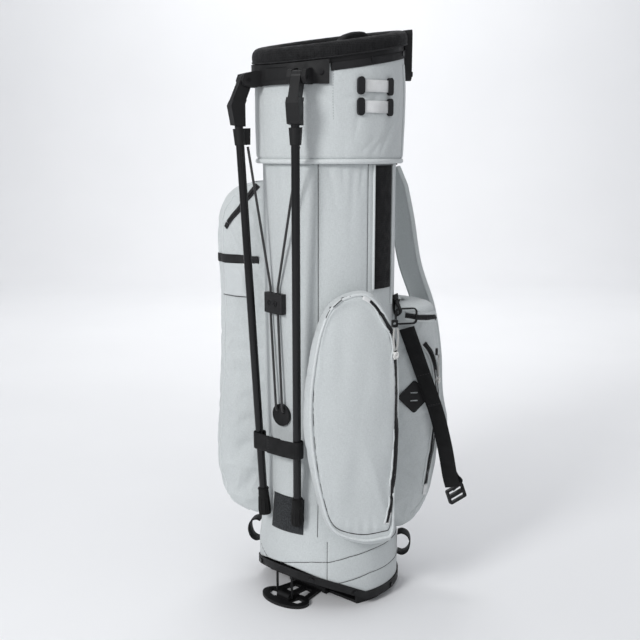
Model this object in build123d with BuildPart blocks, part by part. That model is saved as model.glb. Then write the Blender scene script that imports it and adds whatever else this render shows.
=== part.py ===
"""Golf stand bag: a fabric club tube on a slant-cut base, with pockets, a carry strap,
two folding legs hinged on a bracket at the collar, and a foot lever under the base that
works the legs through a steel wire inside the bag.

Units are millimetres.  +Z is up and -Y is the stand side, where the legs fold out.
The origin is on the ground, on the tube's axis, at the flat heel of the base.
Angles around the tube are in degrees from +X, anticlockwise seen from above.
"""

import os
from math import asin, atan, cos, degrees, hypot, radians, sin, sqrt

from build123d import *

os.makedirs("parts", exist_ok=True)

# --- driving dimensions ------------------------------------------------------------
GAP = 0.3  # clearance between neighbouring pieces that don't touch
SPAN = 400.0  # longer than the bag is wide, for cutting tools

TUBE_R = 104.0  # outside of the fabric tube
FABRIC = 3.0  # lined fabric wall
COLLAR_R, COLLAR_WALL = 113.0, 9.0
SEAM_Z = 700.0  # where the padded collar is sewn to the tube
RIM_Z, RIM_SLOPE = 878.0, 0.18  # top of the rim on the axis, and its rise towards the back
PAD_H, HARD_RIM_H = 22.0, 7.0

BASE_R, TRIM_R = 116.0, 118.0
CUP_R, CUP_WALL, CUP_TOP = 106.0, 3.5, 66.0
TRIM_H = 13.5
HEEL_Y = -42.0  # front edge of the flat heel
HINGE_Y, HINGE_Z = -48.5, 7.0  # foot lever's hinge

STAND_ANGLE = 22.5  # each leg hinge, either side of the stand side
PIN_RADIAL, PIN_Z, PIN_R = 138.0, 814.0, 3.0
RUNNING = 0.05  # radial clearance of a pin in its moving part
LEG_R, LEG_WALL = 6.25, 1.2
LEG_TOP_Z, LEG_END_Z = 764.0, 150.0
LEG_TOP_RADIAL, LEG_END = 150.0, (36.0, -115.5)

WIRE_R, WIRE_X, WIRE_LOW_Y, WIRE_HIGH_Y = 2.0, 16.0, -108.0, -92.0
WIRE_TOP_Z = 772.0

KEEPER_Z, ANCHOR_Z, CORD_R = 485.0, 310.0, 2.0
STRAP_Z, STRAP_H, STRAP_T = 266.0, 28.0, 2.0

TILT = Vector(0, -RIM_SLOPE, 1).normalized()
SIDES = {"left": -1, "right": 1}


# --- small helpers -------------------------------------------------------------------
def save(builder, name):
    """Labels a finished sub-part and writes it as its own STEP file."""
    builder.part.label = name
    export_step(builder.part, f"parts/{name}.step")


def polar(radius, angle, z=0.0):
    """A point at this distance and direction from the tube's axis."""
    return Vector(radius * cos(radians(angle)), radius * sin(radians(angle)), z)


def facing(angle, radius=0.0, z=0.0):
    """A plane that looks outward in this direction: local x runs round the tube, local y up."""
    out = polar(1, angle)
    return Plane(origin=polar(radius, angle, z), x_dir=(-out.Y, out.X, 0), z_dir=out)


def wedge(start, end):
    """Plan-view outline that holds everything between these two directions."""
    middle = (start + end) / 2
    corners = [polar(SPAN, start), polar(2 * SPAN, middle), polar(SPAN, end)]
    return [(0, 0), *[(corner.X, corner.Y) for corner in corners]]


def rim_plane(drop=0.0):
    """The slanted rim plane, this far below the top of the rim."""
    return Plane(origin=(0, 0, RIM_Z - drop), x_dir=(1, 0, 0), z_dir=TILT)


def rim_height(y, drop=0.0):
    """Height of the slanted rim plane at this y."""
    return RIM_Z - drop + RIM_SLOPE * y


def body_radius(z):
    """Outside radius of the fabric tube at this height: it flares into the base."""
    if z >= FLARE[-1][1]:
        return TUBE_R
    for (r0, z0), (r1, z1) in zip(FLARE, FLARE[1:]):
        if z <= z1:
            return r0 + (r1 - r0) * max(0.0, z - z0) / (z1 - z0)
    return TUBE_R


FLARE = [(BASE_R, 0.0), (BASE_R, 80.0), (111.5, 120.0), (106.5, 170.0), (TUBE_R, 220.0)]
FORWARD = -140.0  # in front of everything on the base
TRIM_LOW = [(140.0, 10.0), (-36.0, 10.0), (-72.0, 29.0), (FORWARD, 61.0)]
CUP_LOW = [(140.0, 0.0), (HEEL_Y, 0.0), (HEEL_Y, 14.0), (FORWARD, 66.0)]


def raised(line, dz):
    """The same side-view line, higher."""
    return [(y, z + dz) for y, z in line]


def band(lower, upper):
    """Side-view outline between two lines that run from back to front."""
    return lower + upper[::-1]


def side_outline(points):
    """Fills a polygon given in (y, z) on a plane that looks along X."""
    Polygon(*points, align=None)


# --- base ------------------------------------------------------------------------------
with BuildPart() as cup_cavity:
    with BuildSketch():
        Circle(CUP_R - CUP_WALL)
    extrude(amount=CUP_TOP + 1)
    with BuildSketch(Plane.YZ):
        side_outline(band(raised(CUP_LOW, CUP_WALL + 1), raised(CUP_LOW, 2 * CUP_TOP)))
    extrude(amount=SPAN, both=True, mode=Mode.INTERSECT)

EAR_X, EAR_T = 36.0, 6.0
with BuildPart() as base_cup:
    with BuildSketch():
        Circle(CUP_R)
    extrude(amount=CUP_TOP)
    with BuildSketch(Plane.YZ):
        side_outline(band(CUP_LOW, raised(CUP_LOW, 2 * CUP_TOP)))
    extrude(amount=SPAN, both=True, mode=Mode.INTERSECT)
    add(cup_cavity.part, mode=Mode.SUBTRACT)
    for side in SIDES.values():
        with BuildSketch(Plane.YZ.offset(side * EAR_X)):
            with Locations((HINGE_Y, HINGE_Z)):
                Circle(6.5)
            with Locations(((HINGE_Y + HEEL_Y) / 2 + 0.5, HINGE_Z + 3)):
                Rectangle(HEEL_Y - HINGE_Y + 2, 11)
        extrude(amount=EAR_T / 2, both=True)
        with BuildSketch(Plane.YZ.offset(side * EAR_X)):
            with Locations((HINGE_Y, HINGE_Z)):
                Circle(2.5)
        extrude(amount=EAR_T, both=True, mode=Mode.SUBTRACT)
        with BuildSketch(Plane.XY):
            with Locations((side * WIRE_X, WIRE_LOW_Y + 4)):
                SlotOverall(18, 7, rotation=90)
        extrude(amount=CUP_TOP, mode=Mode.SUBTRACT)
save(base_cup, "base_cup")

with BuildPart() as base_trim:
    with BuildSketch():
        Circle(TRIM_R)
        Circle(CUP_R + GAP, mode=Mode.SUBTRACT)
        for side in SIDES.values():
            with Locations((side * WIRE_X, WIRE_LOW_Y + 4)):
                SlotOverall(18, 7, rotation=90, mode=Mode.SUBTRACT)
    extrude(amount=CUP_TOP)
    with BuildSketch(Plane.YZ):
        side_outline(band(TRIM_LOW, raised(TRIM_LOW, TRIM_H)))
    extrude(amount=SPAN, both=True, mode=Mode.INTERSECT)
save(base_trim, "base_trim")

TRIM_SCREW_ANGLES = (-118, -62, -28, 12, 55, 90, 125, 168, 208)


def trim_low(y):
    """Height of the trim's lower edge at this y."""
    for (y0, z0), (y1, z1) in zip(TRIM_LOW, TRIM_LOW[1:]):
        if y >= y1:
            return z0 + (z1 - z0) * (y0 - y) / (y0 - y1)
    return TRIM_LOW[-1][1]


with BuildPart() as base_screws:
    for angle in TRIM_SCREW_ANGLES:
        height = trim_low(polar(TRIM_R, angle).Y) + TRIM_H - 8
        with BuildSketch(facing(angle, TRIM_R, height)):
            Circle(4.0)
        extrude(amount=2.2)
save(base_screws, "base_screws")

with BuildPart() as foot_hinge_pin:
    with BuildSketch(Plane.YZ):
        with Locations((HINGE_Y, HINGE_Z)):
            Circle(2.5)
    extrude(amount=EAR_X + EAR_T / 2 + 1, both=True)
save(foot_hinge_pin, "foot_hinge_pin")

# --- foot lever and actuator wire -----------------------------------------------------
FOOT_T = 5.0
FOOT_C, FOOT_A, FOOT_B = -106.0, 46.0, 26.0
with BuildPart() as foot_plate:
    with BuildSketch():
        with Locations((0, FOOT_C)):
            Ellipse(FOOT_A, FOOT_B)
        Polygon((-34, -92), (-26, HINGE_Y), (26, HINGE_Y), (34, -92), align=None)
        for side in SIDES.values():
            Polygon(
                (side * 15, -117), (side * 20, -96), (side * 36, -99), (side * 32, -113),
                align=None, mode=Mode.SUBTRACT,
            )
            Polygon(
                (side * 5, -62), (side * 5, -88), (side * 24, -86), (side * 19, -62),
                align=None, mode=Mode.SUBTRACT,
            )
    extrude(amount=FOOT_T)
    with BuildSketch(Plane.YZ):
        with Locations((HINGE_Y, HINGE_Z)):
            Circle(5.5)
    extrude(amount=EAR_X - EAR_T / 2 - GAP, both=True)
    with BuildSketch(Plane.YZ):
        with Locations((WIRE_LOW_Y, HINGE_Z)):
            Circle(5.8)
        with Locations((WIRE_LOW_Y, 3)):
            Rectangle(11.6, 6)
    extrude(amount=WIRE_X - WIRE_R - 1.2, both=True)
    with BuildSketch(Plane.YZ):
        with Locations((HINGE_Y, HINGE_Z)):
            Circle(2.5 + RUNNING)
        with Locations((WIRE_LOW_Y, HINGE_Z)):
            Circle(WIRE_R + RUNNING)
    extrude(amount=EAR_X, both=True, mode=Mode.SUBTRACT)
    for side in SIDES.values():
        with BuildSketch(Plane.XY.offset(1.5)):
            with Locations((side * WIRE_X, WIRE_LOW_Y)):
                Rectangle(2 * WIRE_R + 2.6, 2 * WIRE_R + 9)
        extrude(amount=20, mode=Mode.SUBTRACT)
save(foot_plate, "foot_plate")

BEND_Z = (70.0, 205.0)
with BuildPart() as actuator_wire:
    with BuildLine() as wire_path:
        FilletPolyline(
            (-WIRE_X, WIRE_HIGH_Y, WIRE_TOP_Z),
            (-WIRE_X, WIRE_HIGH_Y, BEND_Z[1]),
            (-WIRE_X, WIRE_LOW_Y, BEND_Z[0]),
            (-WIRE_X, WIRE_LOW_Y, HINGE_Z),
            (WIRE_X, WIRE_LOW_Y, HINGE_Z),
            (WIRE_X, WIRE_LOW_Y, BEND_Z[0]),
            (WIRE_X, WIRE_HIGH_Y, BEND_Z[1]),
            (WIRE_X, WIRE_HIGH_Y, WIRE_TOP_Z),
            radius=2.2,
        )
    with BuildSketch(Plane(origin=(-WIRE_X, WIRE_HIGH_Y, WIRE_TOP_Z), z_dir=(0, 0, -1))):
        Circle(WIRE_R)
    sweep()
save(actuator_wire, "actuator_wire")

with BuildPart() as lift_yoke:
    with BuildSketch(Plane.XY.offset(WIRE_TOP_Z - 16)):
        with Locations((0, WIRE_HIGH_Y)):
            RectangleRounded(2 * WIRE_X + 12, 8, 3)
            with Locations((-WIRE_X, 0), (WIRE_X, 0)):
                Circle(WIRE_R, mode=Mode.SUBTRACT)
    extrude(amount=16)
    with BuildSketch(Plane.XY.offset(WIRE_TOP_Z)):
        with Locations((0, WIRE_HIGH_Y)):
            RectangleRounded(2 * WIRE_X + 12, 8, 3)
    extrude(amount=4)
save(lift_yoke, "lift_yoke")

GUIDE_Z, GUIDE_H, GUIDE_SHIFT = 300.0, 380.0, 2.4
with BuildPart() as wire_guides:
    for side in SIDES.values():
        with BuildSketch(Plane.XY.offset(GUIDE_Z)):
            with Locations((side * WIRE_X, WIRE_HIGH_Y + GUIDE_SHIFT)):
                SlotOverall(17.6, 9.4, rotation=90)
                SlotOverall(14.4, 5.8, rotation=90, mode=Mode.SUBTRACT)
        extrude(amount=GUIDE_H)
save(wire_guides, "wire_guides")

# --- fabric tube and its structure -----------------------------------------------------
TUBE_PROFILE = [*FLARE, (TUBE_R, SEAM_Z - 6)]
with BuildPart() as body_tube:
    with BuildSketch(Plane.XZ):
        Polygon(*TUBE_PROFILE, *[(r - FABRIC, z) for r, z in TUBE_PROFILE[::-1]], align=None)
    revolve(axis=Axis.Z)
    with BuildSketch(Plane.YZ):
        side_outline(band(raised(TRIM_LOW, -60), raised(TRIM_LOW, TRIM_H + GAP)))
    extrude(amount=SPAN, both=True, mode=Mode.SUBTRACT)
save(body_tube, "body_tube")

with BuildPart() as frame_stays:
    for angle in (20, 90, 160):
        with BuildSketch(Plane.XY.offset(70)):
            with Locations((polar(TUBE_R - FABRIC - 3.2, angle))):
                Circle(2.5)
        extrude(amount=SEAM_Z - 75)
save(frame_stays, "frame_stays")

with BuildPart() as collar_piping:
    with BuildSketch(Plane.XY.offset(SEAM_Z - 6)):
        Circle(COLLAR_R + 1.5)
        Circle(TUBE_R - FABRIC, mode=Mode.SUBTRACT)
    extrude(amount=8)
    fillet(collar_piping.edges().filter_by(GeomType.CIRCLE).group_by(SortBy.RADIUS)[-1], 3.5)
save(collar_piping, "collar_piping")

LOOP_ANGLES, LOOP_Z = (-26.0, 1.0), (775.0, 804.0)
with BuildPart() as collar_pad:
    with BuildSketch(Plane.XY.offset(SEAM_Z + 2)):
        Circle(COLLAR_R)
        Circle(COLLAR_R - COLLAR_WALL, mode=Mode.SUBTRACT)
    extrude(amount=190)
    split(bisect_by=rim_plane(PAD_H + HARD_RIM_H), keep=Keep.BOTTOM)
save(collar_pad, "collar_pad")

with BuildPart() as collar_frame:
    with BuildSketch(Plane.XY.offset(SEAM_Z + 20)):
        Circle(COLLAR_R - COLLAR_WALL)
        Circle(COLLAR_R - COLLAR_WALL - 2.5, mode=Mode.SUBTRACT)
    extrude(amount=170)
    split(bisect_by=rim_plane(PAD_H + HARD_RIM_H), keep=Keep.BOTTOM)
save(collar_frame, "collar_frame")

with BuildPart() as top_rim:
    with BuildSketch(rim_plane(PAD_H + HARD_RIM_H)):
        Circle(COLLAR_R)
        Circle(98, mode=Mode.SUBTRACT)
    extrude(amount=HARD_RIM_H * TILT.Z)
save(top_rim, "top_rim")

with BuildPart() as rim_pad:
    with BuildSketch(rim_plane(PAD_H)):
        Circle(118)
        Circle(95, mode=Mode.SUBTRACT)
    extrude(amount=PAD_H * TILT.Z)
    fillet(rim_pad.edges().filter_by(GeomType.CIRCLE), 8)
save(rim_pad, "rim_pad")


BAR_W = 15.0
with BuildPart() as divider_top:
    with BuildSketch(rim_plane(PAD_H - 2)):
        with Locations((0, 4)):
            Rectangle(2 * 92, BAR_W)
        with Locations((0, 4)):
            Rectangle(BAR_W, 2 * 86)
        Circle(94.5, mode=Mode.INTERSECT)
    extrude(amount=16)
    with BuildSketch(Plane.YZ):
        side_outline(
            [(22, rim_height(22, 6)), (38, rim_height(38, -5)), (74, rim_height(74, -5)),
             (90, rim_height(90, 6))]
        )
    extrude(amount=BAR_W / 2, both=True)
save(divider_top, "divider_top")

with BuildPart() as divider_panels:
    with BuildSketch(Plane.XY.offset(48)):
        with Locations((0, 4)):
            Rectangle(2 * 92, 1.6)
        with Locations((0, 5)):
            Rectangle(1.6, 2 * 82)
    extrude(amount=900)
    split(bisect_by=rim_plane(PAD_H - 2), keep=Keep.BOTTOM)
    with BuildSketch(Plane.XY):
        Circle(94)
    extrude(amount=1000, mode=Mode.INTERSECT)
save(divider_panels, "divider_panels")

# --- lift handle at the back of the rim --------------------------------------------------
HANDLE_EAR_ANGLE = 48.0
with BuildPart() as lift_handle:
    with BuildSketch(rim_plane(PAD_H - 1)):
        with BuildLine():
            ThreePointArc((82, 90), (0, 152), (-82, 90))
            Line((-82, 90), (-72, 96.5))
            ThreePointArc((-72, 96.5), (0, 138), (72, 96.5))
            Line((72, 96.5), (82, 90))
        make_face()
        Circle(118 + GAP, mode=Mode.SUBTRACT)
    extrude(amount=17)
    for angle in (HANDLE_EAR_ANGLE, 180 - HANDLE_EAR_ANGLE):
        with BuildSketch(facing(angle, COLLAR_R + 0.6, 0)):
            with Locations((0, 856)):
                RectangleRounded(22, 76, 8)
        extrude(amount=12)
    with BuildSketch(Plane.XY.offset(780)):
        Circle(COLLAR_R + GAP)
    extrude(amount=120, mode=Mode.SUBTRACT)
    with BuildSketch(rim_plane(PAD_H + GAP)):
        Circle(118 + GAP)
    extrude(amount=60, mode=Mode.SUBTRACT)
    split(bisect_by=rim_plane(1), keep=Keep.BOTTOM)
save(lift_handle, "lift_handle")


# --- stand bracket ------------------------------------------------------------------------
BRACKET_R, BRACKET_IN = 119.0, COLLAR_R + GAP
BRACKET_HALF, BRACKET_LOW = 41.0, 806.0
CLEVIS_GAP, CLEVIS_EAR = 7.5, 6.5


LUG = [(-22, -9), (-2, -10), (7, -8), (9.5, 0), (6, 9), (-6, 12), (-22, 14)]


def stand_plane(side):
    """A plane on a leg hinge: local x outward from the bag, local y up, origin at the pin."""
    angle = -90 + side * STAND_ANGLE
    out = polar(1, angle)
    return Plane(
        origin=polar(PIN_RADIAL, angle, PIN_Z), x_dir=out, z_dir=out.cross(Vector(0, 0, 1))
    )


with BuildPart() as stand_bracket:
    with BuildSketch(Plane.XY.offset(BRACKET_LOW)):
        Circle(BRACKET_R)
        Polygon(*wedge(-90 - BRACKET_HALF, -90 + BRACKET_HALF), align=None, mode=Mode.INTERSECT)
        Circle(BRACKET_IN, mode=Mode.SUBTRACT)
    extrude(amount=40)
    for side in SIDES.values():
        for lug in (-1, 1):
            plane = stand_plane(side)
            with BuildSketch(plane.offset(lug * (CLEVIS_GAP + CLEVIS_EAR / 2))):
                Polygon(*LUG, align=None)
            extrude(amount=CLEVIS_EAR / 2, both=True)
    with BuildSketch(Plane.XY.offset(BRACKET_LOW - 20)):
        Circle(BRACKET_IN)
    extrude(amount=80, mode=Mode.SUBTRACT)
    split(bisect_by=rim_plane(PAD_H + GAP), keep=Keep.BOTTOM)
    for side in SIDES.values():
        with BuildSketch(stand_plane(side)):
            Circle(PIN_R)
        extrude(amount=30, both=True, mode=Mode.SUBTRACT)
    with BuildSketch(Plane.XZ.offset(BRACKET_R - 2)):
        with Locations((0, 821)):
            Trapezoid(58, 18, 62, rotation=180)
    extrude(amount=20, mode=Mode.SUBTRACT)
save(stand_bracket, "stand_bracket")

with BuildPart() as collar_screws:
    for angle in (-16, 22, 158, 196):
        height = rim_height(polar(COLLAR_R, angle).Y, PAD_H + HARD_RIM_H + 3)
        with BuildSketch(facing(angle, COLLAR_R, height)):
            Circle(3.6)
        extrude(amount=3)
    for angle in (HANDLE_EAR_ANGLE, 180 - HANDLE_EAR_ANGLE):
        with BuildSketch(facing(angle, COLLAR_R + 12.6, 828)):
            Circle(4)
        extrude(amount=3)
    for side in SIDES.values():
        with BuildSketch(facing(-90 + side * 35, BRACKET_R, 822)):
            Circle(4)
        extrude(amount=2.5)
save(collar_screws, "collar_screws")


# --- legs -----------------------------------------------------------------------------------
def leg_line(side):
    """Top and end points of a leg tube's axis."""
    top = polar(LEG_TOP_RADIAL, -90 + side * STAND_ANGLE, LEG_TOP_Z)
    return top, Vector(side * LEG_END[0], LEG_END[1], LEG_END_Z)


def on_leg(side, z):
    """The point of a leg tube's axis at this height."""
    top, end = leg_line(side)
    return top + (end - top) * ((top.Z - z) / (top.Z - end.Z))


def leg_section(side, z):
    """A plane square to a leg tube's axis, looking down the leg, with local x outward."""
    top, end = leg_line(side)
    down = (end - top).normalized()
    out = polar(1, -90 + side * STAND_ANGLE)
    return Plane(origin=on_leg(side, z), x_dir=out - down * out.dot(down), z_dir=down)


def build_elbow(side):
    with BuildPart() as elbow:
        with BuildSketch(stand_plane(side)):
            Circle(9.5)
            Polygon((-8.5, -4), (4, -34), (4, -66), (21, -64), (26, -36), (14, -9), (9, 2), align=None)
        extrude(amount=CLEVIS_GAP - 0.5, both=True)
        with BuildSketch(stand_plane(side)):
            Polygon((1.5, -28), (4, -34), (4, -66), (21, -64), (26, -36), (22, -28), align=None)
        extrude(amount=9.5, both=True)
        with BuildSketch(stand_plane(side)):
            Circle(PIN_R + RUNNING)
        extrude(amount=20, both=True, mode=Mode.SUBTRACT)
        with BuildSketch(leg_section(side, LEG_TOP_Z)):
            Circle(LEG_R)
        extrude(amount=60, mode=Mode.SUBTRACT)
    return elbow


def build_tube(side):
    length = (leg_line(side)[1] - leg_line(side)[0]).length
    with BuildPart() as tube:
        with BuildSketch(leg_section(side, LEG_TOP_Z)):
            Circle(LEG_R)
            Circle(LEG_R - LEG_WALL, mode=Mode.SUBTRACT)
        extrude(amount=length)
    return tube


def build_clip(side):
    with BuildPart() as clip:
        with BuildSketch(leg_section(side, 745)):
            Circle(LEG_R + 3.2)
            with Locations((-10, 0)):
                RectangleRounded(14, 11, 3)
        extrude(amount=24, taper=4)
        with BuildSketch(leg_section(side, 760)):
            Circle(LEG_R)
        extrude(amount=80, mode=Mode.SUBTRACT)
    return clip


def build_foot(side):
    with BuildPart() as foot:
        with BuildSketch(leg_section(side, 186)):
            Circle(7.9)
        with BuildSketch(leg_section(side, 142)):
            Circle(9.8)
        loft()
        with BuildSketch(leg_section(side, 190)):
            Circle(LEG_R)
        extrude(amount=(190 - LEG_END_Z) * 1.0016, mode=Mode.SUBTRACT)
    return foot


def build_strap_half(side):
    """Half of the hook-and-loop strap: it wraps its own leg and runs past the middle."""
    leg = on_leg(side, STRAP_Z)
    inner, outer = LEG_R + GAP + 0.6, LEG_R + GAP + 0.6 + STRAP_T
    layer = 0.0 if side < 0 else STRAP_T + GAP
    with BuildPart() as strap:
        with BuildSketch(Plane.XY.offset(STRAP_Z - STRAP_H / 2)):
            with Locations((leg.X, leg.Y)):
                Circle(outer)
                Circle(inner, mode=Mode.SUBTRACT)
            with Locations((leg.X - side * 11, leg.Y + 2)):
                Rectangle(14, 15, mode=Mode.SUBTRACT)
            near, far = leg.X, -side * 13
            y0 = leg.Y - inner
            Polygon(
                (near, y0), (near, y0 - STRAP_T), (side * 20, y0 - STRAP_T - layer),
                (far, y0 - STRAP_T - layer), (far, y0 - layer), (side * 20, y0 - layer), align=None,
            )
        extrude(amount=STRAP_H)
    return strap


for label, s in SIDES.items():
    save(build_elbow(s), f"leg_elbow_{label}")
    save(build_tube(s), f"leg_tube_{label}")
    save(build_clip(s), f"leg_clip_{label}")
    save(build_foot(s), f"leg_foot_{label}")
    save(build_strap_half(s), f"leg_strap_{label}")

with BuildPart() as hinge_pins:
    for s in SIDES.values():
        with BuildSketch(stand_plane(s)):
            Circle(PIN_R)
        extrude(amount=CLEVIS_GAP + CLEVIS_EAR + 0.8, both=True)
save(hinge_pins, "hinge_pins")

# --- shock cord, its keeper and its anchor ring ----------------------------------------
KEEPER_ANGLE, KEEPER_H = -99.4, 31.0
KEEPER_IN, CORD_RADIAL, KEEPER_OUT = TUBE_R + GAP, TUBE_R + 5.0, TUBE_R + 9.3
TUNNEL = (1.4, 8.4)  # degrees either side of the keeper's middle
ANCHOR_X, ANCHOR_R = -5.0, 17.5
with BuildPart() as cord_keeper:
    with BuildSketch(Plane.XY.offset(KEEPER_Z - KEEPER_H / 2)):
        Circle(KEEPER_OUT)
        Circle(KEEPER_IN, mode=Mode.SUBTRACT)
        Polygon(*wedge(KEEPER_ANGLE - 11.5, KEEPER_ANGLE + 11.5), align=None, mode=Mode.INTERSECT)
    extrude(amount=KEEPER_H)
    for side in SIDES.values():
        with BuildSketch(Plane.XY.offset(KEEPER_Z - KEEPER_H)):
            Circle(KEEPER_OUT - 1.6)
            Circle(KEEPER_IN + 1.6, mode=Mode.SUBTRACT)
            Polygon(
                *wedge(*sorted(KEEPER_ANGLE + side * turn for turn in TUNNEL)),
                align=None, mode=Mode.INTERSECT,
            )
        extrude(amount=2 * KEEPER_H, mode=Mode.SUBTRACT)
save(cord_keeper, "cord_keeper")

with BuildPart() as cord_anchor:
    with BuildSketch(Plane.XZ.offset(TUBE_R + GAP)):
        with Locations((ANCHOR_X, ANCHOR_Z)):
            Circle(ANCHOR_R)
            with Locations((-6.5, 6.5), (6.5, 6.5)):
                Circle(CORD_R + 1.2, mode=Mode.SUBTRACT)
    extrude(amount=4.5)
save(cord_anchor, "cord_anchor")

CORD_BENDS = [3.2, 14.0, 14.0]
print("shock cord radii", CORD_BENDS, "diameter", 2 * CORD_R)
for label, s in SIDES.items():
    inside = Vector(ANCHOR_X + s * 6.5, -(TUBE_R + 0.9), ANCHOR_Z + 6.5)
    hole = inside - Vector(0, 7.6, 0)
    lower = polar(CORD_RADIAL, KEEPER_ANGLE + s * 4.9, KEEPER_Z - KEEPER_H / 2 - 4)
    upper = polar(CORD_RADIAL, KEEPER_ANGLE + s * 4.9, KEEPER_Z + KEEPER_H / 2 + 4)
    knob = stand_plane(s).from_local_coords((-2.5, -95, 0))
    with BuildPart() as shock_cord:
        with BuildLine() as route:
            FilletPolyline(inside, hole, lower, upper, knob, radius=CORD_BENDS)
        with BuildSketch(Plane(origin=inside, z_dir=hole - inside)):
            Circle(CORD_R)
        sweep()
    save(shock_cord, f"shock_cord_{label}")

# --- pockets -----------------------------------------------------------------------------
with BuildPart() as tube_space:
    with BuildSketch(Plane.XZ):
        Polygon((0, -20), (BASE_R + 3, -20), (BASE_R + 3, 68), *[(r + 2 * GAP, z) for r, z in TUBE_PROFILE[1:]],
                (TUBE_R + 2 * GAP, 900), (0, 900), align=None)
    revolve(axis=Axis.Z)


def radial_plane(angle, z=0.0):
    """A level plane whose local x runs outward in this direction and local y round the tube."""
    return Plane(origin=(0, 0, z), x_dir=polar(1, angle), z_dir=(0, 0, 1))


def side_plane(angle, shift=0.0):
    """An upright plane through the axis: local x runs outward in this direction, local y up."""
    out = polar(1, angle)
    across = out.cross(Vector(0, 0, 1))
    return Plane(origin=across * shift, x_dir=out, z_dir=across)


# Each pocket: direction, half width where it is sewn on, half width further out, front corner radius, side-view outline and front-view outline.
LEFT_POCKET = (
    -156.0, 44.0, 50.0, 24.0,
    [(0, 120), (128, 122), (154, 132), (172, 160), (181, 198), (182, 236), (174, 384), (174, 490), (180, 560),
     (178, 610), (162, 644), (140, 661), (0, 668)],
    [(-52, 112), (56, 112), (54, 300), (48, 668), (-48, 668)],
)
RIGHT_POCKET = (
    -37.0, 57.0, 70.0, 36.0,
    [(0, 108), (135, 112), (166, 140), (178, 200), (178, 440), (168, 486), (150, 506), (0, 510)],
    [(-44, 110), (44, 110), (64, 150), (70, 220), (70, 440), (58, 496), (30, 512), (0, 500), (-38, 462),
     (-62, 400), (-70, 310), (-70, 190), (-62, 140)],
)
BALL_POCKET = (
    55.0, 52.0, 55.0, 30.0,
    [(0, 96), (118, 98), (146, 114), (168, 158), (179, 230), (182, 300), (178, 390), (170, 448), (163, 464),
     (0, 482)],
    [(-58, 76), (58, 76), (58, 482), (-58, 482)],
)


def build_pocket(spec, grow=0.0):
    """A stuffed pocket, made larger all round by grow, clear of the tube behind it."""
    angle, neck, half, corner, side_view, front_view = spec
    reach = max(depth for depth, height in side_view) + 1
    with BuildPart() as pocket:
        with BuildSketch(radial_plane(angle)) as footprint:
            Polygon((0, -neck), (104, -neck), (reach - 36, -half), (reach, -half), (reach, half),
                    (reach - 36, half), (104, neck), (0, neck), align=None)
            fillet(footprint.vertices().group_by(Axis.X)[-1], corner)
            if grow:
                offset(amount=grow)
        extrude(amount=SEAM_Z, both=True)
        with BuildSketch(side_plane(angle)):
            Polygon(*side_view, align=None)
            if grow:
                offset(amount=grow)
        extrude(amount=SPAN, both=True, mode=Mode.INTERSECT)
        with BuildSketch(facing(angle)):
            Polygon(*front_view, align=None)
            if grow:
                offset(amount=grow)
        extrude(amount=SPAN, both=True, mode=Mode.INTERSECT)
        add(tube_space.part, mode=Mode.SUBTRACT)
    return pocket


pockets = {
    "left_pocket": build_pocket(LEFT_POCKET),
    "right_pocket": build_pocket(RIGHT_POCKET),
    "ball_pocket": build_pocket(BALL_POCKET),
}
for name, pocket in pockets.items():
    save(pocket, name)
grown = {
    "left_pocket": build_pocket(LEFT_POCKET, 1.8),
    "right_pocket": build_pocket(RIGHT_POCKET, 1.8),
    "ball_pocket": build_pocket(BALL_POCKET, 1.8),
}


def build_strip(pocket, cutters):
    """A strip of the pocket's surface: the part of its grown copy that every cutter holds."""
    with BuildPart() as strip:
        add(grown[pocket].part)
        for cutter in cutters:
            add(cutter.part, mode=Mode.INTERSECT)
        add(pockets[pocket].part, mode=Mode.SUBTRACT)
    return strip


def build_prism(plane, points, low, high):
    """A polygon drawn on a plane and extruded from low to high along the plane's normal."""
    with BuildPart() as prism:
        with BuildSketch(plane.offset(low)):
            Polygon(*points, align=None)
        extrude(amount=high - low)
    return prism


LEFT_A, RIGHT_A, BALL_A = LEFT_POCKET[0], RIGHT_POCKET[0], BALL_POCKET[0]
# side_plane's normal runs clockwise seen from above, so +shift is clockwise of the pocket's middle.
left_band_zone = build_prism(Plane.XY, [(-400, -400), (400, -400), (400, 400), (-400, 400)], 538, 552)
save(build_strip("left_pocket", [left_band_zone]), "left_pocket_band")
left_zip_line = [(151, 599), (157, 606), (110, 663), (103, 656)]
left_zip_zone = build_prism(side_plane(LEFT_A), left_zip_line, -80, -30)
save(build_strip("left_pocket", [left_zip_zone]), "left_pocket_zip")

RIGHT_ZIP = (133.0, 142.0)
right_zip_zone = build_prism(facing(RIGHT_A), [(24, 480), (34, 530), (90, 530), (90, 168), (60, 168), (60, 440)],
                             *RIGHT_ZIP)
save(build_strip("right_pocket", [right_zip_zone]), "right_pocket_zip")
right_piping_zone = build_prism(facing(RIGHT_A), [(-90, 128), (90, 128), (90, 530), (-90, 530)], 145, 148.5)
save(build_strip("right_pocket", [right_piping_zone]), "right_pocket_piping")

ball_zip_line = [(143, 411), (150, 413), (169, 372), (177, 324), (169, 236), (160, 168), (152, 168), (161, 236),
                 (169, 324), (161, 369)]
ball_zip_zone = build_prism(side_plane(BALL_A), ball_zip_line, 30, 80)
save(build_strip("ball_pocket", [ball_zip_zone]), "ball_pocket_side_zip")
ball_lid_zone = build_prism(side_plane(BALL_A), [(112, 452), (200, 436), (200, 446), (112, 462)], -80, 80)
save(build_strip("ball_pocket", [ball_lid_zone]), "ball_pocket_top_zip")

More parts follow.
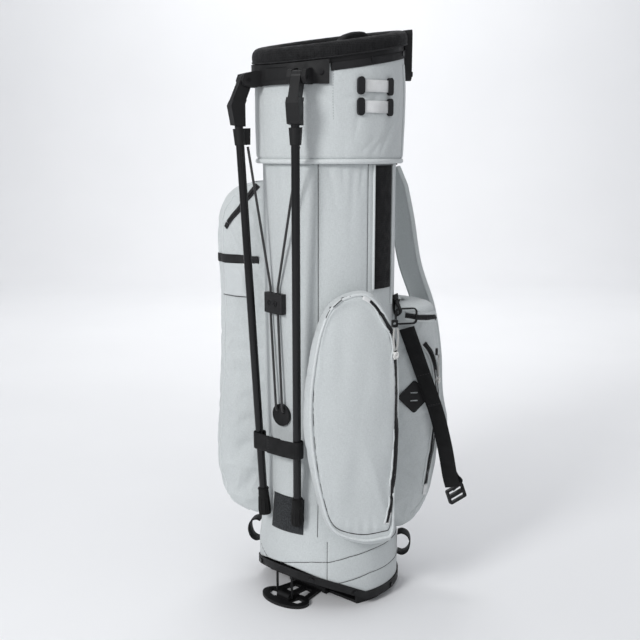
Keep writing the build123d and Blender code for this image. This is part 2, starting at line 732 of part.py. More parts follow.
TAB_D, TAB_Z = 127.0, 326.0
with BuildPart() as lash_tab:
    with BuildSketch(side_plane(BALL_A, BALL_POCKET[2] + 2.2)):
        with Locations((TAB_D, TAB_Z)):
            with Locations(Rotation(0, 0, 45)):
                RectangleRounded(40, 40, 5)
            with Locations((0, 6.5), (0, -6.5)):
                SlotOverall(13, 2.6, mode=Mode.SUBTRACT)
    extrude(amount=1.6)
save(lash_tab, "lash_tab")

# --- small fabric parts on the tube ------------------------------------------------------


def build_ring_patch(radius, thickness, angles, heights):
    """A curved patch on a round tube between two directions and two heights."""
    with BuildPart() as patch:
        with BuildSketch(Plane.XY.offset(heights[0])):
            Circle(radius + thickness)
            Circle(radius, mode=Mode.SUBTRACT)
            Polygon(*wedge(*angles), align=None, mode=Mode.INTERSECT)
        extrude(amount=heights[1] - heights[0])
    return patch


save(build_ring_patch(TUBE_R + GAP, 2, (-9, 16), (508, 690)), "mesh_panel")
with BuildPart() as tee_loops:
    for z in LOOP_Z:
        add(build_ring_patch(COLLAR_R + 1.6, 2, LOOP_ANGLES, (z - 9, z + 9)).part)
save(tee_loops, "tee_loops")
with BuildPart() as tee_loop_eyelets:
    for z in LOOP_Z:
        for angle in LOOP_ANGLES:
            with BuildSketch(facing(angle, COLLAR_R - 1.5, z)):
                SlotOverall(25, 11, rotation=90)
            extrude(amount=6.5)
    add(tee_loops.part, mode=Mode.SUBTRACT)
    with BuildSketch(Plane.XY.offset(700)):
        Circle(COLLAR_R + GAP)
    extrude(amount=200, mode=Mode.SUBTRACT)
save(tee_loop_eyelets, "tee_loop_eyelets")

REST_ARC, REST_Z = (-104.0, -70.0), (121.0, 178.0)
with BuildPart() as leg_rest_pad:
    with BuildSketch(side_plane(REST_ARC[0])):
        Polygon(*[(body_radius(z) + d, z) for d, z in
                  ((GAP, REST_Z[0]), (GAP, 120), (GAP, 170), (GAP, REST_Z[1]), (1.5, REST_Z[1]), (1.5, 170),
                   (1.5, 120), (1.5, REST_Z[0]))], align=None)
    revolve(axis=Axis.Z, revolution_arc=REST_ARC[1] - REST_ARC[0])
save(leg_rest_pad, "leg_rest_pad")


def build_pull_tab(angle, z, width):
    """A folded webbing loop sewn flat against the base, its fold standing out."""
    with BuildPart() as tab:
        with BuildSketch(side_plane(angle)):
            with Locations((BASE_R + GAP + 10, z)):
                RectangleRounded(20, 40, 8)
                RectangleRounded(16, 36, 6, mode=Mode.SUBTRACT)
        extrude(amount=width / 2, both=True)
        add(tab_space.part, mode=Mode.SUBTRACT)
    return tab


with BuildPart() as tab_space:
    with BuildSketch():
        Circle(BASE_R + GAP)
    extrude(amount=120)
with BuildPart() as base_pull_tabs:
    add(build_pull_tab(35, 71, 25).part)
    add(build_pull_tab(-150, 80, 25).part)
save(base_pull_tabs, "base_pull_tabs")

# --- carry strap ----------------------------------------------------------------------------
WEB_T, WEB_W = 1.8, 25.0
PAD_T, PAD_W = 9.0, 48.0
RING_PLANE = Plane(origin=(113.4, 54.6, 459), x_dir=(0.574, 0.819, 0), z_dir=(0.819, -0.574, 0))
RING_W, RING_H, RING_R = 34.0, 24.0, 2.2

with BuildPart() as strap_ring:
    with BuildSketch(RING_PLANE):
        RectangleRounded(RING_W + RING_R, RING_H + RING_R, 7)
        RectangleRounded(RING_W - RING_R, RING_H - RING_R, 5, mode=Mode.SUBTRACT)
    extrude(amount=RING_R, both=True)
save(strap_ring, "strap_ring")


def ring_point(x, y, out=0.0):
    """A point given on the strap ring's plane."""
    return RING_PLANE.from_local_coords((x, y, out))


RING_SIDE = Plane(origin=RING_PLANE.origin, x_dir=RING_PLANE.z_dir, z_dir=-RING_PLANE.x_dir)
with BuildPart() as strap_anchor:
    with BuildSketch(RING_SIDE):
        with Locations((0, RING_H / 2)):
            SlotOverall(11, 8.4)
            SlotOverall(7.4, 4.8, mode=Mode.SUBTRACT)
    extrude(amount=WEB_W / 2, both=True)
    with BuildSketch(RING_SIDE):
        Polygon((-3, RING_H / 2 + 2.8), (3, RING_H / 2 + 2.8), (-1, 38), (-3, 38), align=None)
    extrude(amount=WEB_W / 2, both=True)
    add(tube_space.part, mode=Mode.SUBTRACT)
save(strap_anchor, "strap_anchor")


def build_web(points, width, thickness, across):
    """A flat strap through these points, its width kept as near as it can be to one direction."""
    places = [Vector(*point) for point in points]
    with BuildPart() as web:
        for i, place in enumerate(places):
            run = (places[min(i + 1, len(places) - 1)] - places[max(i - 1, 0)]).normalized()
            with BuildSketch(Plane(origin=place, x_dir=across - run * across.dot(run), z_dir=run)):
                Rectangle(width, thickness)
        loft()
    return web


# The strap webbing drops from its ring across the ball pocket to the buckle.
VIEW_X, VIEW_T = Vector(0.755, 0.656, 0), Vector(0.656, -0.755, 0)


def strap_point(x, t, z):
    """A point given by its distances along two level directions that suit the ball pocket's wall."""
    place = VIEW_X * x + VIEW_T * t
    return (place.X, place.Y, z)


LOWER_WEB = [strap_point(*p) for p in
             ((122, 40, 441), (149, 38, 367), (173, 31, 301), (189, 23, 241), (200, 13, 188), (206, 7, 166))]
save(build_web(LOWER_WEB, WEB_W, 2 * WEB_T, Vector(1, 0.4, 0.4)), "strap_webbing_lower")

PAD_PATH = [polar(*p) for p in
            ((133, 80, 686), (145, 75, 610), (157, 72, 530), (185, 71, 455), (198, 70, 380), (200, 68, 300),
             (206, 62, 230))]
save(build_web([tuple(p) for p in PAD_PATH], PAD_W, PAD_T, polar(1, 170)), "strap_pad")

UPPER_WEB = [tuple(polar(*p)) for p in ((116, 84, 752), (121, 82, 720), (132, 80, 689))]
save(build_web(UPPER_WEB, WEB_W, WEB_T, polar(1, 174)), "strap_webbing_upper")
END_WEB = [tuple(polar(*p)) for p in ((207, 61.5, 226), (213, 57, 192), (219, 50, 166), (219, 46, 158))]
save(build_web(END_WEB, WEB_W, WEB_T, polar(1, 150)), "strap_webbing_end")
with BuildPart() as strap_buckle:
    with BuildSketch(Plane(origin=strap_point(214, -6, 150), x_dir=(0.3, 0.9, 0.3), z_dir=(0.75, -0.3, 0.1))):
        RectangleRounded(34, 26, 3)
        with Locations((0, 6), (0, -6)):
            Rectangle(27, 6, mode=Mode.SUBTRACT)
    extrude(amount=3, both=True)
save(strap_buckle, "strap_buckle")

# --- zip pullers, their cords and end tabs -----------------------------------------------
PULLS = {"right": (184.0, -18.0, 470.0), "ball": (173.5, 33.0, 400.0)}  # radius, angle, height of the eye
SLIDER = (9.0, 11.0, 4.0)
STRAND_R, STRAND_L, STRAND_GAP = 1.6, 33.0, 2.6
EYES = [facing(angle, radius, z) for radius, angle, z in PULLS.values()]
with BuildPart() as zip_sliders:
    for eye in EYES:
        with BuildSketch(eye):
            RectangleRounded(SLIDER[0], SLIDER[1], 2)
            SlotOverall(7.6, 3.8, mode=Mode.SUBTRACT)
        extrude(amount=SLIDER[2] / 2, both=True)
save(zip_sliders, "zip_sliders")
with BuildPart() as pull_cords:
    for eye in EYES:
        for side in SIDES.values():
            top = eye.from_local_coords((side * STRAND_GAP, -6, 3.6))
            with BuildSketch(Plane(origin=top, z_dir=(0, 0, -1))):
                Circle(STRAND_R)
            extrude(amount=STRAND_L)
save(pull_cords, "pull_cords")
with BuildPart() as pull_knots:
    for eye in EYES:
        top = eye.from_local_coords((0, -6 - STRAND_L - 0.2, 3.6))
        with BuildSketch(Plane(origin=top, z_dir=(0, 0, -1))):
            RectangleRounded(10, 10, 4)
        extrude(amount=14)
save(pull_knots, "pull_knots")
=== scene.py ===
"""Golf stand bag: visible pieces, materials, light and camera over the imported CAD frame.
Lengths in the tables are millimetres, angles are degrees round the tube from +X."""

import bmesh
import bpy
import math
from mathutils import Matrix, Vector, noise
from mathutils.bvhtree import BVHTree


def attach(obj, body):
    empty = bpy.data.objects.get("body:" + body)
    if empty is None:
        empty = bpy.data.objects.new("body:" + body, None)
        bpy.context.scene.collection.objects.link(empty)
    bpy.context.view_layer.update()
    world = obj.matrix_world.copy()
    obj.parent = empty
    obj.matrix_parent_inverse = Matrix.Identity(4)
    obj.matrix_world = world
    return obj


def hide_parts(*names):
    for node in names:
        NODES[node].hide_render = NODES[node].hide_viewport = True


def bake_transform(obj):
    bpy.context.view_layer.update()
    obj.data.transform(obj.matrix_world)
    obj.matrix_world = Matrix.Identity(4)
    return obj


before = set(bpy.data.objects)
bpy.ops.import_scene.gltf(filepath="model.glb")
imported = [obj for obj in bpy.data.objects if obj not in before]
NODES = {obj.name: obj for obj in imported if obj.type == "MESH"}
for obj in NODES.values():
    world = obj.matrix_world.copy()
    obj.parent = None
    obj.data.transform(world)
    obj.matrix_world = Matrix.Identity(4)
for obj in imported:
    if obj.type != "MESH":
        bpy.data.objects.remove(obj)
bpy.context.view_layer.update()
MM = 0.001


# --- camera ------------------------------------------------------------------------------
def look(azimuth, pitch, yaw, distance, height, lens, shift):
    """A camera this far from the tube's axis, turned yaw degrees to its left of the axis."""
    a, p, y = math.radians(azimuth), math.radians(pitch), math.radians(yaw)
    right = Vector((math.cos(a), math.sin(a), 0))
    ahead = Vector((-math.sin(a), math.cos(a), 0))
    level = ahead * math.cos(y) - right * math.sin(y)
    data = bpy.data.cameras.new("camera")
    data.lens, data.sensor_width, data.shift_y = lens, 36, shift
    camera = bpy.data.objects.new("camera", data)
    bpy.context.scene.collection.objects.link(camera)
    camera.location = -ahead * distance + Vector((0, 0, height))
    aim = level * math.cos(p) - Vector((0, 0, math.sin(p)))
    camera.rotation_euler = aim.to_track_quat("-Z", "Y").to_euler()
    bpy.context.scene.camera = camera


look(41, 12.2, 0.55, 1.5, 0.716, 53.2, 0.052)
bpy.context.scene.view_settings.view_transform = "Standard"


# --- geometry helpers ----------------------------------------------------------------------
def polar(radius, angle, z=0.0):
    a = math.radians(angle)
    return Vector((radius * math.cos(a), radius * math.sin(a), z))


def lerp(table, x):
    """Reads a value off a table of (x, value) rows, easing between them."""
    if x <= table[0][0]:
        return table[0][1]
    for (x0, v0), (x1, v1) in zip(table, table[1:]):
        if x <= x1:
            t = (x - x0) / (x1 - x0)
            return v0 + (v1 - v0) * t
    return table[-1][1]


def bell(x, centre, width):
    return math.exp(-(((x - centre) / width) ** 2))


def smooth_line(points, count, closed=False):
    """Evenly spaced points on a smooth curve through these."""
    pts = [Vector(p) for p in points]
    n = len(pts)
    dense = []
    spans = n if closed else n - 1
    for i in range(spans):
        if closed:
            p0, p1, p2, p3 = pts[i - 1], pts[i], pts[(i + 1) % n], pts[(i + 2) % n]
        else:
            p1, p2 = pts[i], pts[i + 1]
            p0 = pts[i - 1] if i else p1 * 2 - p2
            p3 = pts[i + 2] if i + 2 < n else p2 * 2 - p1
        for k in range(24):
            t = k / 24
            dense.append(
                0.5 * (2 * p1 + (p2 - p0) * t + (2 * p0 - 5 * p1 + 4 * p2 - p3) * t * t
                       + (3 * p1 - p0 - 3 * p2 + p3) * t ** 3)
            )
    dense.append(dense[0].copy() if closed else pts[-1])
    return even(dense, count, closed)


def even(dense, count, closed=False):
    """The same line with this many evenly spaced points."""
    run = [0.0]
    for a, b in zip(dense, dense[1:]):
        run.append(run[-1] + (b - a).length)
    steps = count if closed else count - 1
    out, j = [], 0
    for i in range(count):
        want = run[-1] * i / steps
        while j < len(run) - 2 and run[j + 1] < want:
            j += 1
        span = run[j + 1] - run[j]
        out.append(dense[j].lerp(dense[j + 1], (want - run[j]) / span if span else 0))
    return out


def length_of(points):
    return sum((b - a).length for a, b in zip(points, points[1:]))


def make(name, verts, faces, material, body="root", uvs=None, smooth=True):
    """A mesh piece given in millimetres."""
    mesh = bpy.data.meshes.new(name)
    mesh.from_pydata([tuple(Vector(v) * MM) for v in verts], [], faces)
    mesh.validate()
    if uvs:
        layer = mesh.uv_layers.new(name="uv")
        for loop in mesh.loops:
            layer.data[loop.index].uv = [c * MM for c in uvs[loop.vertex_index]]
    shape = bmesh.new()
    shape.from_mesh(mesh)
    bmesh.ops.recalc_face_normals(shape, faces=shape.faces)
    shape.to_mesh(mesh)
    shape.free()
    mesh.polygons.foreach_set("use_smooth", [smooth] * len(mesh.polygons))
    obj = bpy.data.objects.new(name, mesh)
    bpy.context.scene.collection.objects.link(obj)
    if material:
        mesh.materials.append(material)
    if body:
        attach(obj, body)
    return obj


def grid_faces(rows, cols, closed):
    """Quads over a grid of points; closed joins the last column to the first."""
    faces = []
    for r in range(rows - 1):
        for c in range(cols if closed else cols - 1):
            d = (c + 1) % cols
            faces.append((r * cols + c, r * cols + d, (r + 1) * cols + d, (r + 1) * cols + c))
    return faces


def tree(obj):
    """A ray-casting tree of a piece, in millimetres."""
    verts = [v.co / MM for v in obj.data.vertices]
    return BVHTree.FromPolygons(verts, [tuple(p.vertices) for p in obj.data.polygons])


def drop(surfaces, points, outward, lift=0.0):
    """Moves each point onto the outermost surface below it along its outward direction."""
    laid, normals = [], []
    for i, p in enumerate(points):
        out = outward(p) if callable(outward) else outward
        best = None
        for surface in surfaces:
            hit, normal, _, distance = surface.ray_cast(p + out * 80, -out, 160)
            if hit is not None and (best is None or distance < best[2]):
                best = (hit, normal, distance)
        if best is None:
            best = (p, out, 0)
        normal = best[1] if best[1].dot(out) > 0 else -best[1]
        laid.append(best[0])
        normals.append(normal)
    soft = []
    for i in range(len(laid)):
        near = normals[max(0, i - 2): i + 3]
        soft.append(sum(near, Vector()).normalized())
    return [p + n * lift for p, n in zip(laid, soft)], soft


def from_axis(p):
    """Outward from the tube's axis."""
    return Vector((p.x, p.y, 0)).normalized()


def sweep(name, points, normals, profile, material, body="root", closed=False, fit=None):
    """A section swept along a line: profile holds (across, out) pairs, counter-clockwise."""
    n, m = len(points), len(profile)
    verts, uvs, run = [], [], 0.0
    girth = [0.0]
    for a, b in zip(profile, profile[1:]):
        girth.append(girth[-1] + math.hypot(b[0] - a[0], b[1] - a[1]))
    for i, p in enumerate(points):
        a = points[i - 1] if i or closed else p
        b = points[(i + 1) % n] if i + 1 < n or closed else p
        along = (b - a).normalized()
        side = along.cross(normals[i]).normalized()
        up = side.cross(along).normalized()
        scale = fit(i / (n - 1)) if fit else 1.0
        if i:
            run += (p - points[i - 1]).length
        for (u, v), g in zip(profile, girth):
            verts.append(p + side * u * scale + up * v * scale)
            uvs.append((g, run))
    faces = []
    for i in range(n if closed else n - 1):
        j = (i + 1) % n
        for k in range(m):
            l = (k + 1) % m
            faces.append((i * m + k, i * m + l, j * m + l, j * m + k))
    if not closed:
        faces.append(tuple(range(m))[::-1])
        faces.append(tuple((n - 1) * m + k for k in range(m)))
    return make(name, verts, faces, material, body, uvs)


def flat_section(width, thickness, crown=0.0):
    """Section of a webbing strap with soft edges, resting on the line it follows."""
    w, t = width / 2, thickness
    e = min(t * 0.45, w * 0.3)
    return [(-w + e, 0), (0, 0), (w - e, 0), (w, e), (w, t - e), (w - e, t), (w * 0.5, t + crown * 0.7),
            (0, t + crown), (-w * 0.5, t + crown * 0.7), (-w + e, t), (-w, t - e), (-w, e)]


def round_section(radius, sides=10, lift=0.0):
    return [(radius * math.cos(2 * math.pi * k / sides), radius * math.sin(2 * math.pi * k / sides) + lift)
            for k in range(sides)]


def frames_for(points):
    """Normals carried along a line with as little twist as possible."""
    along = (points[1] - points[0]).normalized()
    start = Vector((0, 0, 1)) if abs(along.z) < 0.9 else Vector((1, 0, 0))
    normal = (start - along * start.dot(along)).normalized()
    out = []
    for i, p in enumerate(points):
        a, b = points[max(i - 1, 0)], points[min(i + 1, len(points) - 1)]
        along = (b - a).normalized()
        normal = (normal - along * normal.dot(along)).normalized()
        out.append(normal)
    return out


def rod(name, points, radius, material, body="root", closed=False, sides=12):
    return sweep(name, points, frames_for(points), round_section(radius, sides), material, body, closed)


def stitch_row(name, points, normals, material, body="root", size=(2.4, 1.7, 0.45)):
    """A row of thread stitches, each a short rounded bar bowed up from the cloth."""
    pitch = size[0] + size[1]
    total = length_of(points)
    count = max(2, int(total / pitch))
    line = even(points, count * 4 + 1)
    index = [min(range(len(points)), key=lambda k: (points[k] - q).length) for q in line[::4]]
    verts, faces = [], []
    for s in range(count):
        a, b = line[s * 4], line[s * 4 + 2] if size[1] > 1.2 else line[s * 4 + 3]
        normal = normals[index[s]]
        along = (b - a).normalized()
        side = along.cross(normal).normalized()
        base = len(verts)
        for t, bow, fat in ((0, -0.3, 0.5), (0.25, 0.55, 1), (0.75, 0.55, 1), (1, -0.3, 0.5)):
            c = a.lerp(b, t) + normal * bow * size[2]
            for k in range(5):
                w = 2 * math.pi * k / 5
                verts.append(c + (side * math.cos(w) + normal * math.sin(w)) * size[2] * fat)
        for r in range(3):
            for k in range(5):
                l = (k + 1) % 5
                faces.append((base + r * 5 + k, base + r * 5 + l, base + r * 5 + 5 + l, base + r * 5 + 5 + k))
        faces.append(tuple(base + k for k in range(5))[::-1])
        faces.append(tuple(base + 15 + k for k in range(5)))
    return make(name, verts, faces, material, body)


# --- materials -----------------------------------------------------------------------------
class Paint:
    """A procedural material built up from layers of colour, roughness and bump."""

    def __init__(self, name, color, rough, metal=0.0, sheen=0.0, spec=0.5, coat=0.0):
        self.mat = bpy.data.materials.new(name)
        self.mat.use_nodes = True
        self.nodes, self.links = self.mat.node_tree.nodes, self.mat.node_tree.links
        self.shader = self.nodes["Principled BSDF"]
        self.shader.inputs["Base Color"].default_value = (*color, 1)
        self.shader.inputs["Roughness"].default_value = rough
        self.shader.inputs["Metallic"].default_value = metal
        self.shader.inputs["Sheen Weight"].default_value = sheen
        self.shader.inputs["Specular IOR Level"].default_value = spec
        self.shader.inputs["Coat Weight"].default_value = coat
        self.color = tuple(color)
        self.place = self.nodes.new("ShaderNodeTexCoord")
        self.height = None

    def coords(self, stretch=(1, 1, 1), uv=False, turn=0.0):
        mapping = self.nodes.new("ShaderNodeMapping")
        mapping.inputs["Scale"].default_value = stretch
        mapping.inputs["Rotation"].default_value = (0, 0, turn)
        self.links.new(self.place.outputs["UV" if uv else "Object"], mapping.inputs["Vector"])
        return mapping.outputs["Vector"]

    def noise(self, scale, stretch=(1, 1, 1), detail=2.0, uv=False):
        node = self.nodes.new("ShaderNodeTexNoise")
        node.inputs["Scale"].default_value = scale
        node.inputs["Detail"].default_value = detail
        self.links.new(self.coords(stretch, uv), node.inputs["Vector"])
        return node.outputs["Fac"]

    def bands(self, pitch_mm, axis="X", uv=True, turn=0.0):
        node = self.nodes.new("ShaderNodeTexWave")
        node.wave_type, node.bands_direction = "BANDS", axis
        node.inputs["Scale"].default_value = 2 * math.pi * 1000 / pitch_mm / 20
        self.links.new(self.coords((1, 1, 1), uv, turn), node.inputs["Vector"])
        return node.outputs["Fac"]

    def cells(self, pitch_mm, stretch=(1, 1, 1), uv=False):
        node = self.nodes.new("ShaderNodeTexVoronoi")
        node.inputs["Scale"].default_value = 1000 / pitch_mm
        node.inputs["Randomness"].default_value = 0.35
        self.links.new(self.coords(stretch, uv), node.inputs["Vector"])
        return node.outputs["Distance"]

    def tint(self, fac, low, high, span=(0.3, 0.7)):
        """Varies the colour between low and high times the base as the pattern runs over span."""
        ramp = self.nodes.new("ShaderNodeValToRGB")
        ramp.color_ramp.elements[0].position, ramp.color_ramp.elements[1].position = span
        ramp.color_ramp.elements[0].color = (low, low, low, 1)
        ramp.color_ramp.elements[1].color = (high, high, high, 1)
        self.links.new(fac, ramp.inputs["Fac"])
        mix = self.nodes.new("ShaderNodeMix")
        mix.data_type, mix.blend_type = "RGBA", "MULTIPLY"
        mix.inputs["Factor"].default_value = 1
        before = self.shader.inputs["Base Color"].links
        if before:
            self.links.new(before[0].from_socket, mix.inputs["A"])
        else:
            mix.inputs["A"].default_value = (*self.color, 1)
        self.links.new(ramp.outputs["Color"], mix.inputs["B"])
        self.links.new(mix.outputs["Result"], self.shader.inputs["Base Color"])
        return self

    def bump(self, fac, strength, distance_mm):
        node = self.nodes.new("ShaderNodeBump")
        node.inputs["Strength"].default_value = strength
        node.inputs["Distance"].default_value = distance_mm * MM
        self.links.new(fac, node.inputs["Height"])
        if self.height:
            self.links.new(self.height, node.inputs["Normal"])
        self.height = node.outputs["Normal"]
        self.links.new(self.height, self.shader.inputs["Normal"])
        return self

    def wear(self, fac, low, high, span=(0.3, 0.7)):
        """Roughness that follows a pattern."""
        node = self.nodes.new("ShaderNodeMapRange")
        node.inputs["From Min"].default_value, node.inputs["From Max"].default_value = span
        node.inputs["To Min"].default_value, node.inputs["To Max"].default_value = low, high
        self.links.new(fac, node.inputs["Value"])
        self.links.new(node.outputs["Result"], self.shader.inputs["Roughness"])
        return self


def cloth_paint(name, color, rough=0.85, sheen=0.25):
    """Plain-weave cloth: slubby crossed threads, a soft mottle and a slight fuzz."""
    p = Paint(name, color, rough, sheen=sheen, spec=0.3)
    p.tint(p.noise(9, (1, 1, 0.5), 3), 0.94, 1.04)
    p.tint(p.noise(260, (1, 1, 7), 2), 0.93, 1.05)
    p.tint(p.noise(260, (5, 5, 0.8), 2), 0.94, 1.05)
    p.bump(p.noise(420, (1, 1, 6), 2), 0.35, 0.35)
    p.bump(p.noise(420, (6, 6, 1), 2), 0.35, 0.35)
    p.bump(p.noise(40, (1, 1, 0.6), 3), 0.25, 0.8)
    p.wear(p.noise(30), rough - 0.06, min(1, rough + 0.06))
    return p.mat


def web_paint(name, color, pitch=2.2):
    """Ribbed webbing, its ribs across the strap and its roughness varying in patches."""
    p = Paint(name, color, 0.62, sheen=0.03, spec=0.2)
    p.bump(p.bands(pitch, "Y"), 0.6, 0.35)
    p.bump(p.bands(pitch * 0.8, "X"), 0.5, 0.25)
    p.tint(p.bands(pitch, "Y"), 0.75, 1.2, (0.2, 0.9))
    p.tint(p.noise(35), 0.85, 1.15)
    p.wear(p.noise(60), 0.52, 0.75)
    return p.mat


def plastic_paint(name, color, rough=0.5, grain=0.12):
    """Moulded plastic with a fine spark-eroded texture and a few handling marks."""
    p = Paint(name, color, rough, spec=0.28)
    p.bump(p.noise(900, detail=1), grain, 0.15)
    p.tint(p.noise(22), 0.85, 1.2)
    p.wear(p.noise(45, detail=4), rough - 0.1, rough + 0.12)
    return p.mat


GREY = (0.535, 0.565, 0.568)
PALE = (0.60, 0.63, 0.632)
BLACK = (0.007, 0.007, 0.0075)
M = {}
M["fabric"] = cloth_paint("grey_weave", GREY)
M["fabric_pale"] = cloth_paint("pale_weave", PALE)
M["piping"] = cloth_paint("piping_weave", (0.50, 0.53, 0.532), 0.8)
p = Paint("grey_thread_twisted", (0.28, 0.30, 0.305), 0.65)
M["thread"] = p.tint(p.noise(900), 0.8, 1.2).bump(p.noise(1500), 0.3, 0.1).mat
# Near-black thread for real stitches, also used for the painted shade lines along the tube and pocket seams.
p = Paint("dark_thread_and_seam_shade", (0.03, 0.03, 0.032), 0.65)
M["thread_dark"] = p.tint(p.noise(900), 0.7, 1.5).bump(p.noise(1500), 0.3, 0.1).mat
p = Paint("knit_mesh", (0.006, 0.006, 0.0065), 0.75, sheen=0.03, spec=0.18)
p.bump(p.cells(2.6, (1, 1, 0.8)), 0.9, 0.9).tint(p.cells(2.6, (1, 1, 0.8)), 0.35, 1.5, (0.1, 0.6))
M["mesh"] = p.bump(p.noise(60), 0.3, 0.5).wear(p.noise(80), 0.6, 0.85).mat
M["webbing"] = web_paint("black_webbing", (0.007, 0.007, 0.0075))
M["binding"] = web_paint("black_binding", (0.015, 0.015, 0.016), 1.6)
M["elastic"] = web_paint("black_elastic", (0.02, 0.02, 0.021), 1.4)
M["tee_elastic"] = web_paint("white_elastic", (0.72, 0.73, 0.73), 1.5)
M["plastic"] = plastic_paint("black_moulding", BLACK)
M["plastic_fine"] = plastic_paint("black_fine_moulding", (0.010, 0.010, 0.011), 0.38, 0.06)
p = Paint("glass_filled_nylon", (0.009, 0.009, 0.0095), 0.6, spec=0.28)
p.bump(p.noise(350, detail=3), 0.35, 0.35).tint(p.noise(28), 0.8, 1.3)
M["plastic_rough"] = p.wear(p.noise(50), 0.5, 0.75).mat
p = Paint("black_anodised", (0.012, 0.012, 0.013), 0.26, metal=0.55, spec=0.6)
p.bump(p.noise(500, (1, 1, 0.04)), 0.06, 0.1).tint(p.noise(14, (1, 1, 0.2)), 0.85, 1.2)
M["anodised"] = p.wear(p.noise(60, (1, 1, 0.1)), 0.2, 0.36).mat
p = Paint("moulded_rubber", (0.007, 0.007, 0.007), 0.75, spec=0.2)
M["rubber"] = p.bump(p.noise(500), 0.25, 0.2).tint(p.noise(30), 0.8, 1.3).wear(p.noise(50), 0.62, 0.88).mat
p = Paint("black_zinc", (0.02, 0.02, 0.021), 0.38, metal=0.8)
M["zinc"] = p.bump(p.noise(600), 0.12, 0.1).tint(p.noise(60), 0.8, 1.4).wear(p.noise(90), 0.3, 0.5).mat
p = Paint("white_braid", (0.80, 0.80, 0.78), 0.75, sheen=0.2)
p.bump(p.bands(1.5, "Y", turn=0.6), 0.8, 0.4).bump(p.bands(1.5, "Y", turn=-0.6), 0.8, 0.4)
M["white_cord"] = p.tint(p.bands(1.5, "Y", turn=0.6), 0.82, 1.05).wear(p.noise(60), 0.65, 0.85).mat
# Painted highlight: narrow bright stripes, up to 3.2 times the black, spiral along the braid as glints on its twisted
# strands.
p = Paint("elastic_braid_painted_glints", (0.016, 0.016, 0.017), 0.6, sheen=0.2)
p.bump(p.bands(2.4, "Y", turn=0.7), 0.8, 0.4).bump(p.bands(2.4, "Y", turn=-0.7), 0.8, 0.4)
M["shock"] = p.tint(p.bands(2.4, "Y", turn=0.7), 0.6, 3.2, (0.7, 0.98)).mat
p = Paint("felt_pad", (0.026, 0.028, 0.030), 0.95, sheen=0.1, spec=0.2)
p.bump(p.noise(300, detail=5), 0.7, 0.6).tint(p.noise(450, detail=4), 0.55, 1.7)
M["felt"] = p.wear(p.noise(80), 0.88, 1.0).mat
p = Paint("zip_tape", (0.008, 0.008, 0.009), 0.55, spec=0.4)
p.bump(p.bands(1.6, "Y"), 0.7, 0.4).tint(p.bands(1.6, "Y"), 0.6, 1.8, (0.3, 0.9))
M["zip"] = p.wear(p.noise(70), 0.45, 0.65).mat
p = Paint("divider_lining", (0.012, 0.012, 0.013), 0.9, sheen=0.05, spec=0.3)
M["lining"] = p.bump(p.noise(300, (1, 1, 4)), 0.4, 0.3).tint(p.noise(20), 0.8, 1.3).wear(p.noise(50), 0.84, 0.96).mat
p = Paint("white_tab", (0.70, 0.71, 0.71), 0.7, sheen=0.1)
M["white_tab"] = p.bump(p.noise(500), 0.3, 0.2).tint(p.noise(90), 0.9, 1.05).wear(p.noise(60), 0.6, 0.8).mat
p = Paint("clear_vinyl", (0.56, 0.59, 0.595), 0.2, spec=0.5, coat=0.4)
M["vinyl"] = p.bump(p.noise(30, detail=2), 0.3, 0.8).tint(p.noise(12), 0.96, 1.02).wear(p.noise(30), 0.12, 0.24).mat


def finish_node(name, material, bevel=0.0, segments=2):
    """Gives a CAD node its material and, where its edges are hard, a small rounded edge."""
    obj = NODES[name]
    obj.data.materials.clear()
    obj.data.materials.append(M[material])
    if bevel:
        mod = obj.modifiers.new("edges", "BEVEL")
        mod.width, mod.segments, mod.limit_method, mod.angle_limit = bevel * MM, segments, "ANGLE", 0.7
        mod.harden_normals = True


# --- pull cords ------------------------------------------------------------------------------
PULLS = {"right": (184.0, -18.0, 470.0), "ball": (173.5, 33.0, 400.0)}
STRAND_R, STRAND_L, STRAND_GAP = 1.6, 33.0, 2.6


class Facing:
    """Lateral, height and depth on the side of the bag that faces one direction."""

    def __init__(self, angle):
        self.out = polar(1, angle)
        self.side = Vector((-self.out.y, self.out.x, 0))

    def at(self, lateral, z, depth):
        return self.out * depth + self.side * lateral + Vector((0, 0, z))


def knot(name, centre, face):
    """An overhand knot in two strands, with their short cut ends below it."""
    loops = []
    for i in range(96):
        t = 2 * math.pi * i / 96
        x = math.sin(t) + 2 * math.sin(2 * t)
        y = math.cos(t) - 2 * math.cos(2 * t)
        loops.append(centre + face.side * x * 1.15 + face.out * y * 1.0 + Vector((0, 0, 3.2 * math.sin(3 * t) - 0.5)))
    piece = rod(name, loops, 1.65, M["white_cord"], closed=True, sides=10)
    for s in (-1, 1):
        tail = [centre + face.side * s * (1.2 + 0.5 * k) + face.out * (0.5 - 0.25 * k * s) + Vector((0, 0, -2 - 1.6 * k))
                for k in range(4)]
        end = rod(f"{name}_tail_{'left' if s < 0 else 'right'}", smooth_line(tail, 9), 1.5, M["white_cord"], sides=9)
    return piece


